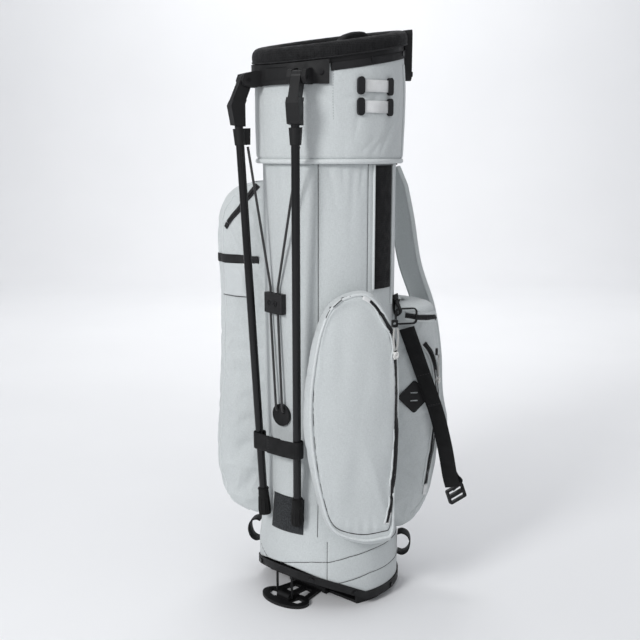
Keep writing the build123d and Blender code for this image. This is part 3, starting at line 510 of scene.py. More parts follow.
def pull_cord(label, place):
    """Two strands of cord that hang from a slider's eye to their knot."""
    radius, angle, z = place
    face = Facing(angle)
    eye = face.at(0, z, radius)
    top = eye + face.out * 3.6 + Vector((0, 0, -6))
    tied = knot(f"pull_knot_{label}", top + Vector((0, 0, -STRAND_L - 6.4)), face)
    for s in (-1, 1):
        data = bpy.data.curves.new(f"pull_cord_{label}_{s}", "CURVE")
        data.dimensions = "3D"
        data.bevel_depth, data.bevel_resolution, data.use_fill_caps = STRAND_R * MM, 3, True
        spline = data.splines.new("NURBS")
        route = [(0, 0), (1.2, -8), (1.6, -17), (0.6, -26), (-1.2, -STRAND_L)]
        spline.points.add(len(route) - 1)
        for point, (spread, down) in zip(spline.points, route):
            at = top + face.side * s * (STRAND_GAP + spread) + Vector((0, 0, down))
            point.co = (*(at * MM), 1)
        spline.order_u, spline.use_endpoint_u, spline.resolution_u = 3, True, 8
        data.materials.append(M["white_cord"])
        name = f"pull_cord_{label}_{'left' if s < 0 else 'right'}"
        strand = bpy.data.objects.new(name, data)
        bpy.context.scene.collection.objects.link(strand)
        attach(strand, "root")
        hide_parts("pull_cords")
    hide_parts("pull_knots")


for label, place in PULLS.items():
    pull_cord(label, place)


# --- fabric surfaces -------------------------------------------------------------------------
FLARE = ((0, 116), (80, 116), (120, 111.5), (170, 106.5), (220, 104))
TRIM_LOW = ((-140, 62), (-116, 61), (-72, 29), (-36, 10), (140, 10))
TRIM_H, SEAM_Z, COLLAR_R, RIM_Z, RIM_SLOPE = 13.5, 700.0, 113.0, 878.0, 0.18


def tube_radius(z):
    return lerp(FLARE, z)


def rim_height(y, drop=0.0):
    return RIM_Z - drop + RIM_SLOPE * y


def gap_to(x, y, line):
    """Distance from a flat point to a line of flat points."""
    best = 1e9
    for (x0, y0), (x1, y1) in zip(line, line[1:]):
        dx, dy = x1 - x0, y1 - y0
        t = max(0, min(1, ((x - x0) * dx + (y - y0) * dy) / (dx * dx + dy * dy)))
        best = min(best, math.hypot(x - x0 - dx * t, y - y0 - dy * t))
    return best


def ripple(x, y, seed=0.0):
    return noise.noise(Vector((x, y, seed)))


def grid(name, rows, material, body="root", closed_rows=False, closed_cols=False, caps=True, uvs=None):
    """A mesh over rows of points, closed either way round, its open ends filled."""
    n, m = len(rows), len(rows[0])
    verts = [p for row in rows for p in row]
    faces = grid_faces(n, m, closed_cols)
    if closed_rows:
        for c in range(m if closed_cols else m - 1):
            d = (c + 1) % m
            faces.append(((n - 1) * m + c, (n - 1) * m + d, d, c))
    elif caps:
        faces.append(tuple(range(m))[::-1])
        faces.append(tuple((n - 1) * m + c for c in range(m)))
    return make(name, verts, faces, material, body, uvs)


def unroll(angle, z, radius=110.0):
    return math.radians(angle) * radius, z


BASE_SEAMS = [
    [unroll(a, z) for a, z in ((-103, 60), (-76, 74), (-62, 79), (-48, 80), (-32, 87), (-14, 91), (12, 93), (160, 93),
                               (200, 88), (228, 78), (257, 60))],
    [unroll(a, z) for a, z in ((-50, 40), (-35, 46), (-14, 53), (21, 54), (160, 54), (201, 54), (225, 46))],
    [unroll(a, z) for a, z in ((-50, 30), (-50, 112))],
    [unroll(a, z) for a, z in ((229, 30), (229, 112))],
]
PANEL_SEAMS = [[unroll(a, 120), unroll(a, 694)] for a in (-58, -15, 150, 238)]
TUBE_CREASES = [
    ((-88, 232), (-76, 262), 1.5, 5), ((-84, 214), (-80, 236), 1.3, 4), ((-97, 250), (-88, 226), 1.1, 5),
    ((-50, 694), (-44, 640), 1.5, 5), ((-38, 694), (-36, 655), 1.4, 4), ((-28, 694), (-31, 600), 1.6, 6),
    ((-20, 694), (-24, 640), 1.4, 4), ((-66, 694), (-66, 560), 1.2, 7), ((-100, 694), (-97, 620), 1.0, 7),
    ((30, 694), (34, 620), 1.4, 6), ((60, 690), (52, 600), 1.3, 7), ((120, 694), (126, 560), 1.4, 8),
    ((180, 694), (172, 600), 1.3, 7), ((100, 300), (118, 340), 1.3, 9), ((140, 420), (120, 470), 1.2, 9),
    ((-60, 108), (-40, 118), 1.2, 5), ((-100, 100), (-78, 92), 0.8, 5), ((60, 120), (90, 134), 1.2, 6),
]


def crease_depth(angle, z, creases):
    """How far a soft crease pulls the cloth in here."""
    total = 0.0
    for (a0, z0), (a1, z1), depth, width in creases:
        if abs(z - (z0 + z1) / 2) > abs(z0 - z1) / 2 + 3 * width:
            continue
        x, y = unroll(angle, z)
        x0, y0 = unroll(a0, z0)
        x1, y1 = unroll(a1, z1)
        dx, dy = x1 - x0, y1 - y0
        t = ((x - x0) * dx + (y - y0) * dy) / (dx * dx + dy * dy)
        if -0.3 < t < 1.3:
            off = abs((x - x0) * dy - (y - y0) * dx) / math.hypot(dx, dy)
            total += depth * math.exp(-((off / width) ** 2)) * max(0, 1 - max(0, t - 0.3) / 1.0) * min(1, (t + 0.3) / 0.5)
    return total


def seam_dip(x, y, seams, depth=1.5, width=1.1):
    """A sewn seam: a narrow valley between two slightly raised edges."""
    near = min(gap_to(x, y, seam) for seam in seams)
    if near > 9:
        return 0.0
    return depth * math.exp(-((near / width) ** 2)) - 0.25 * depth * math.exp(-(((near - 3.2) / 1.6) ** 2))


def tube_surface(angle, z):
    """Outside radius of the fabric tube, never more than its CAD radius."""
    x, y = unroll(angle, z)
    lively = 0.35 + 0.65 * min(1, bell(z, 660, 90) + bell(z, 240, 60))
    fold = 0.5 + 0.5 * ripple(angle / 11, z / 190, 1.5)
    fold += 0.25 * (0.5 + 0.5 * ripple(angle / 3.5, z / 50, 4.2))
    dip = crease_depth(angle, z, TUBE_CREASES) + seam_dip(x, y, BASE_SEAMS if z < 130 else PANEL_SEAMS, 1.3)
    return tube_radius(z) - 0.2 - 0.9 * lively * fold - dip


def steps(start, end, pitch):
    count = max(2, int(round(abs(end - start) / pitch)) + 1)
    return [start + (end - start) * i / (count - 1) for i in range(count)]


def build_tube_fabric():
    """The fabric tube, a lined wall that ends behind the base trim and under the collar."""
    angles = [-105 + 1.25 * i for i in range(288)]
    shares = steps(0, 1, 1 / 280)
    rows = []
    for t in shares:
        rows.append([])
        for a in angles:
            low = lerp(TRIM_LOW, 116 * math.sin(math.radians(a))) + TRIM_H - 7
            z = low + (SEAM_Z - 5 - low) * t
            rows[-1].append(polar(tube_surface(a, z), a, z))
    for t in (1, 0.8, 0.6, 0.4, 0.2, 0):
        rows.append([])
        for a in angles:
            low = lerp(TRIM_LOW, 116 * math.sin(math.radians(a))) + TRIM_H - 7
            z = low + (SEAM_Z - 5 - low) * t
            rows[-1].append(polar(tube_radius(z) - 3.6, a, z))
    piece = grid("tube_fabric", rows, M["fabric"], closed_rows=True, closed_cols=True)
    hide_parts("body_tube")
    return piece


tube_piece = build_tube_fabric()
TUBE_TREE = tree(tube_piece)



def build_seam_shade_lines():
    """Painted shade: a fine near-black line laid in each seam's valley on the tube, standing in for the shadow there.
    """
    for k, seam in enumerate(BASE_SEAMS + PANEL_SEAMS[:2]):
        dense = []
        for (x0, z0), (x1, z1) in zip(seam, seam[1:]):
            for t in steps(0, 1, 1 / max(2, int(math.hypot(x1 - x0, z1 - z0) / 4))):
                x, z = x0 + (x1 - x0) * t, z0 + (z1 - z0) * t
                dense.append(polar(110, math.degrees(x / 110), z))
        shown = [q for q in dense if q.z > lerp(TRIM_LOW, q.y) + TRIM_H - 4]
        line, normals = drop([TUBE_TREE], even(shown, len(shown)), from_axis, 0.15)
        sweep(f"tube_seam_shade_{k + 1}", line, normals, round_section(0.5, 6), M["thread_dark"])


build_seam_shade_lines()

LOOP_Z = (775.0, 804.0)
COLLAR_CREASES = [
    ((-6, 716), (12, 770), 1.7, 4), ((4, 712), (19, 756), 1.5, 3.5), ((-14, 712), (0, 742), 1.2, 4),
    ((-30, 735), (-24, 800), 0.9, 4), ((-24, 712), (-14, 730), 0.9, 4), ((14, 770), (22, 812), 1.3, 4),
    ((-36, 786), (-28, 790), 1.2, 4), ((2, 786), (14, 792), 1.2, 3.5), ((-12, 786), (-16, 792), 1.4, 9),
    ((60, 720), (74, 780), 1.3, 6), ((100, 716), (90, 770), 1.3, 6), ((150, 720), (160, 780), 1.3, 6),
    ((-120, 716), (-114, 740), 0.7, 5), ((-70, 716), (-74, 738), 0.6, 5), ((210, 720), (204, 770), 1.2, 6),
]
COLLAR_TOP_DROP = 29.0


def collar_surface(angle, z):
    """Outside radius of the padded collar: full between its seams, gathered at the lower one."""
    top = rim_height(COLLAR_R * math.sin(math.radians(angle)), COLLAR_TOP_DROP)
    share = min(1, max(0, (z - 701) / (top - 701)))
    full = 1.7 * math.sin(math.pi * min(1, share * 1.05)) ** 0.5 if share < 0.95 else 0
    flat = max(bell(angle, -90, 44) * (1 if z > 780 else 0.4), bell(angle, -12, 16) * bell(z, 790, 26))
    gather = 1.0 * math.exp(-(z - 701) / 7) * ripple(angle / 1.6, z / 30, 8.0)
    soft = 0.7 * ripple(angle / 8, z / 45, 2.5) - 0.5
    edge = -2.6 * math.exp(-(((z - 701) / 2.2) ** 2)) - 1.2 * math.exp(-(((z - top) / 3) ** 2))
    dimple = 0.0
    for z_loop in LOOP_Z:
        for end in (-26, 1):
            dimple += 1.4 * math.exp(-((math.radians(angle - end) * 113 / 6) ** 2) - ((z - z_loop) / 13) ** 2)
    radius = COLLAR_R + full * (1 - flat) + soft * (1 - 0.7 * flat) + gather + edge
    radius -= dimple + crease_depth(angle, z, COLLAR_CREASES)
    return min(radius, COLLAR_R + 0.1 + 1.6 * (1 - flat))


def build_collar():
    angles = [-105 + 1.25 * i for i in range(288)]
    tops = [rim_height(COLLAR_R * math.sin(math.radians(a)), COLLAR_TOP_DROP - 0.6) for a in angles]
    rows = []
    for t in steps(0, 1, 1 / 62):
        rows.append([polar(collar_surface(a, 700.5 + (top - 700.5) * t), a, 700.5 + (top - 700.5) * t)
                     for a, top in zip(angles, tops)])
    for t in (1, 0.66, 0.33, 0):
        rows.append([polar(104.1, a, 702 + (top - 702) * t) for a, top in zip(angles, tops)])
    piece = grid("collar_fabric", rows, M["fabric"], closed_rows=True, closed_cols=True)
    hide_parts("collar_pad")
    return piece


collar_piece = build_collar()
COLLAR_TREE = tree(collar_piece)


def build_collar_roll():
    """The covered roll that joins the collar to the tube, puckered along its two seams."""
    profile = [(101.5, 694.6), (108, 694.2), (112.2, 694.4), (114, 695.8), (114.6, 698), (114, 700.2), (112.2, 701.6),
               (108, 701.8), (101.5, 701.4)]
    rows = []
    for r, z in profile:
        row = []
        for i in range(576):
            a = i * 0.625
            pucker = 0.5 * ripple(a * 1.1 + (z - 698) * 0.35, 3.0, 5.0) * min(1, abs(z - 698) / 3 + 0.25)
            row.append(polar(r + (pucker if r > 109 else 0), a, z))
        rows.append(row)
    piece = grid("collar_roll", rows, M["fabric_pale"], closed_rows=True, closed_cols=True)
    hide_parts("collar_piping")


build_collar_roll()


def collar_line(points, count=60, lift=0.0):
    """A line of (angle, height) points laid on the collar."""
    line = [polar(COLLAR_R, a, z) for a, z in points]
    return drop([COLLAR_TREE], smooth_line(line, count), from_axis, lift)


def build_collar_trim():
    angles = steps(-48, 228, 2)
    strip = [(a, rim_height(COLLAR_R * math.sin(math.radians(a)), COLLAR_TOP_DROP + 5)) for a in angles]
    line = [polar(COLLAR_R + 0.15, a, z) for a, z in strip]
    normals = [from_axis(p) for p in line]
    sweep("collar_binding", line, normals, flat_section(11, 1.1, 0.4), M["binding"])
    edge = [p - Vector((0, 0, 4.6)) + n * 1.1 for p, n in zip(line, normals)]
    stitch_row("collar_binding_stitches", edge, normals, M["thread_dark"])
    points, normals = collar_line([(-46, 824), (-46.5, 790), (-46, 755)], 50)
    stitch_row("collar_stitches", points, normals, M["thread"], size=(1.6, 2.2, 0.42))
    points, normals = collar_line([(26, 703), (27.5, 745), (28, 795), (25, 838)], 60, 0.6)
    sweep("collar_side_piping", points, normals, round_section(1.9, 12, 0.6), M["fabric_pale"])


build_collar_trim()


def ring_path(radius, drop_z, count=260):
    return [Vector((radius * math.cos(2 * math.pi * i / count), radius * math.sin(2 * math.pi * i / count),
                    rim_height(radius * math.sin(2 * math.pi * i / count), drop_z))) for i in range(count)]


def build_rim_pad():
    """The knit-covered ring of padding round the mouth."""
    section = [(95.4, -21), (95, -15), (95.2, -8), (97, -3), (101, -0.6), (106, 0), (111, -0.8), (115, -3.4),
               (117.4, -8), (118, -13), (117.6, -18), (116.2, -21.4), (110, -21.8), (102, -21.6)]
    closed = smooth_line([Vector((r, 0, z)) for r, z in section], 44, True)
    rows = []
    for i in range(360):
        a = math.radians(i)
        row = []
        for p in closed:
            puff = 0.5 * ripple(i / 9, p.z / 14, p.x / 30) - 0.3
            r = p.x + (puff if p.z > -19 else 0)
            row.append(Vector((r * math.cos(a), r * math.sin(a), rim_height(r * math.sin(a)) + p.z)))
        rows.append(row)
    piece = grid("rim_pad_knit", rows, M["mesh"], closed_rows=True, closed_cols=True)
    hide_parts("rim_pad")
    for label, radius, z in (("outer", 117.2, 20.4), ("inner", 95.6, 19.6)):
        path = ring_path(radius, z)
        rod(f"rim_seam_{label}", path, 1.1, M["binding"], closed=True, sides=8)


build_rim_pad()


def rounded_box(half_w, low, high, corner):
    """Section of a padded bar: (across, up) points."""
    out = []
    for cx, cy, start in ((half_w - corner, high - corner, 0), (-half_w + corner, high - corner, 90),
                          (-half_w + corner, low + corner, 180), (half_w - corner, low + corner, 270)):
        for k in range(5):
            a = math.radians(start + 22.5 * k)
            out.append((cx + corner * math.cos(a), cy + corner * math.sin(a)))
    return out


def build_dividers():
    """Two crossed padded bars that part the mouth, one of them raised into a grab bar."""
    rows = []
    for x in steps(-93, 93, 4):
        z = rim_height(4, 4)
        sag = -1.5 * (1 - bell(x, 0, 40)) + 0.4 * ripple(x / 12, 0, 3)
        rows.append([Vector((x, 4 + u, z + v + sag + RIM_SLOPE * u)) for u, v in rounded_box(7.6, -16, 0, 5)])
    bar = grid("divider_bar_across", rows, M["mesh"], closed_cols=True)
    rows = []
    for y in steps(-82, 90, 3):
        rise = lerp(((20, 0), (27, 4), (34, 7.5), (44, 9), (56, 9.5), (68, 9), (78, 7.5), (85, 4), (90, 0)), y)
        z = rim_height(y, 4)
        swell = 0.4 * ripple(y / 12, 1, 3)
        rows.append([Vector((u, y, z + v + swell)) for u, v in rounded_box(7.6, -16, rise, 5)])
    spine = grid("divider_bar_along", rows, M["mesh"], closed_cols=True)
    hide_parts("divider_top")


build_dividers()


# --- pockets -----------------------------------------------------------------------------------
def even_out(shifts, first, count, start, end):
    """Averages the shifts round each ring of a fan, more so towards its middle, then between rings."""
    rings = [shifts[i:i + count] for i in range(0, len(shifts), count)]
    for k in range(first, len(rings)):
        share = (k - first + 1) / (len(rings) - first)
        reach = min(count // 2 - 1, int(start + (end - start) * share ** 1.5))
        row = rings[k]
        rings[k] = [sum((row[(i + d) % count] for d in range(-reach, reach + 1)), Vector()) / (2 * reach + 1)
                    for i in range(count)]
    for _ in range(4):
        for k in range(first + 1, len(rings)):
            after = rings[min(k + 1, len(rings) - 1)]
            rings[k] = [(a + b * 2 + c) / 4 for a, b, c in zip(rings[k - 1], rings[k], after)]
    return [shift for ring in rings for shift in ring]


def puff(obj, pinned, pressure=2.0, cap=5.0, frames=18, shrink=-0.02, fan=None):
    """Inflates the cloth of a piece by simulation, its seams held, then keeps the result."""
    mesh = obj.data
    group = obj.vertex_groups.new(name="held")
    for index, weight in pinned.items():
        group.add([index], weight, "REPLACE")
    mod = obj.modifiers.new("cloth", "CLOTH")
    cloth = mod.settings
    cloth.quality = 6
    cloth.mass = 0.2
    cloth.tension_stiffness = cloth.compression_stiffness = 18
    cloth.shear_stiffness = 6
    cloth.bending_stiffness = 0.35
    cloth.use_pressure = True
    cloth.uniform_pressure_force = pressure
    cloth.shrink_min = shrink
    cloth.vertex_group_mass = "held"
    cloth.pin_stiffness = 1
    cloth.effector_weights.gravity = 0
    mod.collision_settings.use_collision = False
    mod.point_cache.frame_start, mod.point_cache.frame_end = 1, frames
    scene = bpy.context.scene
    for f in range(1, frames + 1):
        scene.frame_set(f)
        bpy.context.view_layer.update()
    result = obj.evaluated_get(bpy.context.evaluated_depsgraph_get()).to_mesh()
    rest = [v.co.copy() for v in mesh.vertices]
    moved = [v.co.copy() for v in result.vertices]
    obj.modifiers.remove(mod)
    obj.vertex_groups.clear()
    shifts = []
    for a, b in zip(rest, moved):
        shift = b - a
        if not all(math.isfinite(c) for c in shift):
            shift = Vector()
        if shift.length > cap * MM:
            shift *= cap * MM / shift.length
        shifts.append(shift)
    if fan:
        shifts = even_out(shifts, *fan)
    for vertex, a, shift in zip(mesh.vertices, rest, shifts):
        vertex.co = a + shift
    scene.frame_set(1)


def smooth_more(obj, levels=1):
    mod = obj.modifiers.new("smooth", "SUBSURF")
    mod.levels = mod.render_levels = levels


def resample(outline, count):
    """Evenly spaced points round a closed outline of (lateral, height) points, from its first."""
    return [(p.x, p.y) for p in smooth_line([Vector((x, y, 0)) for x, y in outline], count, True)]


def blend_lines(a, b, t):
    return [(x0 + (x1 - x0) * t, z0 + (z1 - z0) * t) for (x0, z0), (x1, z1) in zip(a, b)]


RIGHT = Facing(-37)
RIGHT_SEAM = [(12, 510), (-24, 498), (-43, 462), (-54, 398), (-57, 340), (-52, 265), (-40, 198), (-24, 158),
              (14, 142), (50, 144), (63, 153), (64, 210), (68, 310), (67, 400), (57, 456), (36, 492)]
RIGHT_BULGE = [(20, 512), (-24, 496), (-47, 452), (-61, 388), (-66, 322), (-60, 260), (-47, 200), (-28, 148),
               (18, 120), (52, 117), (70, 128), (72, 210), (74, 310), (72, 400), (62, 462), (44, 498)]
RIGHT_ROOT = [(16, 504), (-20, 488), (-40, 446), (-50, 388), (-54, 322), (-50, 262), (-42, 205), (-26, 158),
              (16, 134), (44, 132), (56, 142), (57, 210), (58, 310), (57, 400), (50, 455), (36, 490)]
RIGHT_AROUND, RIGHT_DEPTH, RIGHT_CROWN = 264, 158.0, 17.0


def build_right_pocket():
    """A stuffed pocket: gusset from the tube out to a rolled edge, then a crowned front panel."""
    count = RIGHT_AROUND
    seam, bulge, root = (resample(o, count) for o in (RIGHT_SEAM, RIGHT_BULGE, RIGHT_ROOT))
    centre = (6.0, 325.0)
    rings = []

    def ring(line, depth):
        rings.append([RIGHT.at(l, z, depth(l, z) if callable(depth) else depth) for l, z in line])

    on_tube = lambda l, z: math.sqrt(max(0, (tube_radius(z) - 1.6) ** 2 - l * l))
    ring(root, on_tube)
    ring(blend_lines(root, bulge, 0.45), lambda l, z: max(112, on_tube(l, z) + 9))
    ring(blend_lines(root, bulge, 0.85), 121)
    ring(bulge, 131)
    ring(blend_lines(bulge, seam, 0.12), 140)
    ring(blend_lines(bulge, seam, 0.25), 147)
    ring(blend_lines(bulge, seam, 0.3), 153)
    ring(blend_lines(bulge, seam, 0.52), 157.5)
    ring(blend_lines(bulge, seam, 0.8), 158.5)
    ring(seam, RIGHT_DEPTH - 1.6)
    seam_index = len(rings) - 1
    for share in (0.965, 0.93, 0.885, 0.83, 0.765, 0.69, 0.61, 0.53, 0.44, 0.35, 0.26, 0.17, 0.08):
        line = [(centre[0] + (l - centre[0]) * share, centre[1] + (z - centre[1]) * share) for l, z in seam]

        def depth(l, z, share=share):
            base = RIGHT_DEPTH + 1.0 + RIGHT_CROWN * (1 - share ** 2.6)
            fold = 2.6 * bell(l, -16 + (z - 400) * 0.03, 12) * bell(z, 430, 70) * (1 - share ** 4)
            low = 2.2 * bell(l, 8, 20) * bell(z, 250, 90)
            gathers = 1.5 * math.cos(l * 2 * math.pi / 15 + 1.2) * max(0, 1 - (z - 142) / 26) * (1 - share ** 24)
            return base - fold - low + gathers + 1.0 * ripple(l / 26, z / 60, 6.0) * (1 - share ** 6)

        ring(line, depth)
    piece = grid("right_pocket_shell", rings, M["fabric"], closed_cols=True)
    held = {i: 1.0 for i in range(count * 2)}
    for k in (-1, 0, 1):
        for i in range(count):
            held[(seam_index + k) * count + i] = 1.0 if k == 0 else 0.6
    puff(piece, held, pressure=1.2, cap=4.5, fan=(seam_index + 2, count, 1, 128))
    smooth_more(piece)
    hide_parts("right_pocket")
    return piece


right_piece = build_right_pocket()


def on_front(face, surfaces, points, count, lift=0.0):
    """A line of (lateral, height) points laid on the outward side of a pocket."""
    line = smooth_line([face.at(l, z, 160) for l, z in points], count)
    return drop(surfaces, line, face.out, lift)


def on_wall(face, side, surfaces, points, count, lift=0.0):
    """A line of (depth, height) points laid on one flank of a pocket."""
    line = smooth_line([face.at(side * 60, z, d) for d, z in points], count)
    return drop(surfaces, line, face.side * side, lift)


def build_right_details():
    surface = [tree(right_piece)]
    # Painted shade: a near-black cord laid round the front panel's seam stands in for the shadow line there.
    outline = [RIGHT.at(l, z, 160) for l, z in resample(RIGHT_SEAM, 240)]
    laid, normals = drop(surface, outline, RIGHT.out)
    cord = [p + n * 1.0 for p, n in zip(laid, normals)]
    sweep("right_pocket_seam_shade", cord, normals, round_section(0.8, 8, 0.2), M["thread_dark"], closed=True)
    roll = [RIGHT.at(l, z, 157.6) for l, z in blend_lines(resample(RIGHT_BULGE, 240), resample(RIGHT_SEAM, 240), 0.62)]
    piece = rod("right_pocket_roll", roll, 2.3, M["fabric_pale"], closed=True, sides=12)
    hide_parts("right_pocket_piping")
    zip_line = [(26, 501), (44, 482), (59, 455), (65.5, 424), (68, 388), (69, 338), (69, 289), (67, 238), (63.5, 200),
                (60, 175), (57, 160)]
    points, normals = on_front(RIGHT, surface, zip_line, 90, 1.3)
    normals = [(n + RIGHT.side * 0.3).normalized() for n in normals]
    tape = sweep("right_pocket_zip_tape", points, normals, flat_section(7.5, 1.2), M["zip"])
    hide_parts("right_pocket_zip")
    teeth = [p + n * 1.2 for p, n in zip(points, normals)]
    stitch_row("right_pocket_zip_teeth", teeth, normals, M["plastic_fine"], size=(0.9, 0.7, 0.9))
    lip = [p - RIGHT.side * 4.6 + n * 0.8 for p, n in zip(points, normals)]
    sweep("right_pocket_zip_lip", lip, normals, round_section(1.5, 10, 0.5), M["fabric_pale"])
    for label, ends in (("top", [(16, 507), (30, 498)]), ("bottom", [(60, 176), (55, 158)])):
        points, normals = on_front(RIGHT, surface, ends, 8, 0.9)
        sweep(f"right_pocket_zip_end_{label}", points, normals, flat_section(9, 1.4), M["white_tab"])


build_right_details()


def sliced_pocket(name, face, reach, near, far, near_side, corner, crown, heights, count=150, seed=1.0, wave=1.0):
    """A pocket built up from level slices, each running out along one flank, across the front and back."""
    rows = []
    for z in heights:
        depth, half_a, half_b = lerp(reach, z), lerp(near, z), lerp(far, z)
        root_a = math.sqrt((tube_radius(z) - 1.6) ** 2 - half_a ** 2)
        root_b = math.sqrt((tube_radius(z) - 1.6) ** 2 - half_b ** 2)
        out = max(depth - root_a, 2)
        c = min(corner, out * 0.55)
        puffed = min(1, (out - 2) / 40)
        s = near_side
        outline = [
            (s * half_a, root_a), (s * (half_a + 1.5 * puffed), root_a + (depth - root_a) * 0.35),
            (s * (half_a + 1.0 * puffed), depth - c - 1), (s * (half_a - 0.3 * c), depth - 0.3 * c),
            (s * (half_a - c), depth + crown * 0.3 * puffed), (s * (half_a - half_b) / 2, depth + crown * puffed),
            (-s * (half_b - c), depth + crown * 0.3 * puffed), (-s * (half_b - 0.3 * c), depth - 0.3 * c),
            (-s * (half_b + 1.0 * puffed), depth - c - 1), (-s * (half_b + 1.5 * puffed), root_b + (depth - root_b) * 0.35),
            (-s * half_b, root_b),
        ]
        line = smooth_line([Vector((x, y, 0)) for x, y in outline], count)
        row = []
        for i, p in enumerate(line):
            a, b = line[max(i - 1, 0)], line[min(i + 1, count - 1)]
            normal = Vector(((b - a).y, -(b - a).x, 0)).normalized() * s
            edge = min(1, min(i, count - 1 - i) / 18) * puffed
            w = wave * edge * (0.9 * ripple(p.x / 30, z / 70, seed) + 0.4 * ripple(p.x / 11 + p.y / 13, z / 26, seed + 3))
            q = p - normal * w
            row.append(face.at(q.x, z, q.y))
        back = []
        start, end = math.atan2(-s * half_b, root_b), math.atan2(s * half_a, root_a)
        for k in range(1, 11):
            w = start + (end - start) * k / 11
            r = tube_radius(z) - 1.6
            back.append(face.at(r * math.sin(w), z, r * math.cos(w)))
        rows.append(row + back)
    piece = grid(name, rows, M["fabric"], closed_cols=True)
    return piece, len(rows[0])


def hold_edges(rows, cols, front, extra_rows=()):
    """Pins: the root columns, the back and the first and last slices."""
    held = {}
    for r in range(rows):
        for c in range(cols):
            if c >= front or c < 3 or c > front - 4 or r < 2 or r > rows - 3 or r in extra_rows:
                held[r * cols + c] = 1.0
    return held


LEFT = Facing(-156)
LEFT_HEIGHTS = steps(121.5, 668, 6)


def build_left_pocket():
    reach = ((121, 113), (124, 128), (129, 146), (140, 161), (160, 172), (197, 180), (235, 181), (300, 179), (384, 174),
             (490, 174), (554, 178), (604, 178.5), (622, 174), (644, 161), (658, 143), (664, 128), (668, 108))
    near = ((121, 50), (150, 56), (207, 57), (300, 53), (400, 47), (600, 44), (668, 40))
    far = ((121, 42), (150, 46), (600, 46), (668, 38))
    piece, cols = sliced_pocket("left_pocket_shell", LEFT, reach, near, far, 1, 26, 3.0, LEFT_HEIGHTS, seed=11.0)
    puff(piece, hold_edges(len(LEFT_HEIGHTS), cols, 150), pressure=1.0, cap=4.0)
    smooth_more(piece)
    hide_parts("left_pocket")
    return piece


left_piece = build_left_pocket()


def build_left_details():
    surface = [tree(left_piece)]
    wall = lambda pts, n, lift=0.0: on_wall(LEFT, 1, surface, pts, n, lift)
    points, normals = wall([(103, 661), (118, 644), (136, 622), (153, 602)], 40, 0.2)
    tape = sweep("left_pocket_zip_tape", points, normals, flat_section(9, 1.3), M["zip"])
    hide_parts("left_pocket_zip")
    stitch_row("left_pocket_zip_teeth", [p + n * 1.4 for p, n in zip(points, normals)], normals, M["plastic_fine"],
               size=(0.9, 0.7, 1.0))
    points, normals = wall([(154, 601), (159, 594)], 8, 0.3)
    sweep("left_pocket_zip_end", points, normals, flat_section(8, 1.6), M["plastic_fine"])
    face_points = [(101, 545), (130, 545), (158, 545)]
    points, normals = wall(face_points, 40, 0.2)
    rest, _ = drop(surface, [LEFT.at(l, 545, 190) for l in steps(46, -46, 4)], LEFT.out, 0.2)
    keep = [i for i, p in enumerate(rest) if p.dot(LEFT.side) < 38]
    line = points[:-4] + [LEFT.at(44, 545, 168), *[rest[i] for i in keep]]
    line = smooth_line(line[::3] + [line[-1]], 120)
    outward = lambda p: Vector((p.x, p.y, 0)).normalized() * 0.35 + (LEFT.side if p.dot(LEFT.side) > 30 else LEFT.out)
    laid, normals = drop(surface, line, lambda p: outward(p).normalized(), 0.1)
    band = sweep("left_pocket_elastic", laid, normals, flat_section(14, 1.5, 0.3), M["elastic"])
    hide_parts("left_pocket_band")
    rows = []
    for z in steps(538, 486, 4):
        row = []
        depths = steps(118, 168, 4)
        pts, nrm = drop(surface, [LEFT.at(70, z, d) for d in depths], LEFT.side, 0)
        for k, (p, n) in enumerate(zip(pts, nrm)):
            edge = min(1, k / 2, (len(depths) - 1 - k) / 2) * min(1, (z - 486) / 6 + 0.15)
            row.append(p + n * (0.5 + 1.6 * edge))
        rows.append(row)
    inner = [[p - LEFT.side * 0.9 for p in row] for row in rows]
    n, m = len(rows), len(rows[0])
    verts = [p for row in rows for p in row] + [p for row in inner for p in row]
    faces = grid_faces(n, m, False) + [tuple(reversed([i + n * m for i in f])) for f in grid_faces(n, m, False)]
    rim = [c for c in range(m)] + [r * m + m - 1 for r in range(1, n)] + [(n - 1) * m + c for c in range(m - 2, -1, -1)]
    rim += [r * m for r in range(n - 2, 0, -1)]
    for a, b in zip(rim, rim[1:] + rim[:1]):
        faces.append((a, b, b + n * m, a + n * m))
    pouch = make("left_pocket_pouch", verts, faces, M["vinyl"])
    pouch.modifiers.new("smooth", "SUBSURF").levels = 1
    lower = [p + LEFT.side * 0.4 for p in rows[-1]]
    sweep("left_pocket_pouch_seam", lower, [LEFT.side] * len(lower), round_section(0.6, 8), M["thread_dark"])
    edge_points = [(118, 664), (146, 655), (166, 636), (176, 608), (177, 554), (172, 490), (172, 384), (178, 300),
                   (180, 235), (178, 198), (169, 160), (152, 138), (124, 126)]
    line = smooth_line([LEFT.at(42, z, d - 5) for d, z in edge_points], 140)
    outward = (LEFT.side + LEFT.out).normalized()
    laid, normals = drop(surface, line, outward, -0.2)
    sweep("left_pocket_edge_seam", laid, normals, round_section(1.2, 8, 0.2), M["fabric_pale"])


build_left_details()

BALL = Facing(55)
BALL_HEIGHTS = steps(96.5, 482, 5.5)


def build_ball_pocket():
    reach = ((96, 117), (100, 126), (108, 140), (128, 155), (158, 168), (200, 175), (230, 179), (300, 181.5), (390, 178),
             (440, 171), (456, 166), (461, 168), (470, 164), (476, 150), (480, 128), (482, 108))
    near = ((96, 40), (110, 46), (150, 50), (300, 53), (440, 51), (470, 50), (482, 42))
    piece, cols = sliced_pocket("ball_pocket_shell", BALL, reach, near, near, -1, 30, 3.0, BALL_HEIGHTS, seed=23.0)
    puff(piece, hold_edges(len(BALL_HEIGHTS), cols, 150), pressure=1.0, cap=3.0)
    smooth_more(piece)
    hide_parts("ball_pocket")
    return piece


ball_piece = build_ball_pocket()


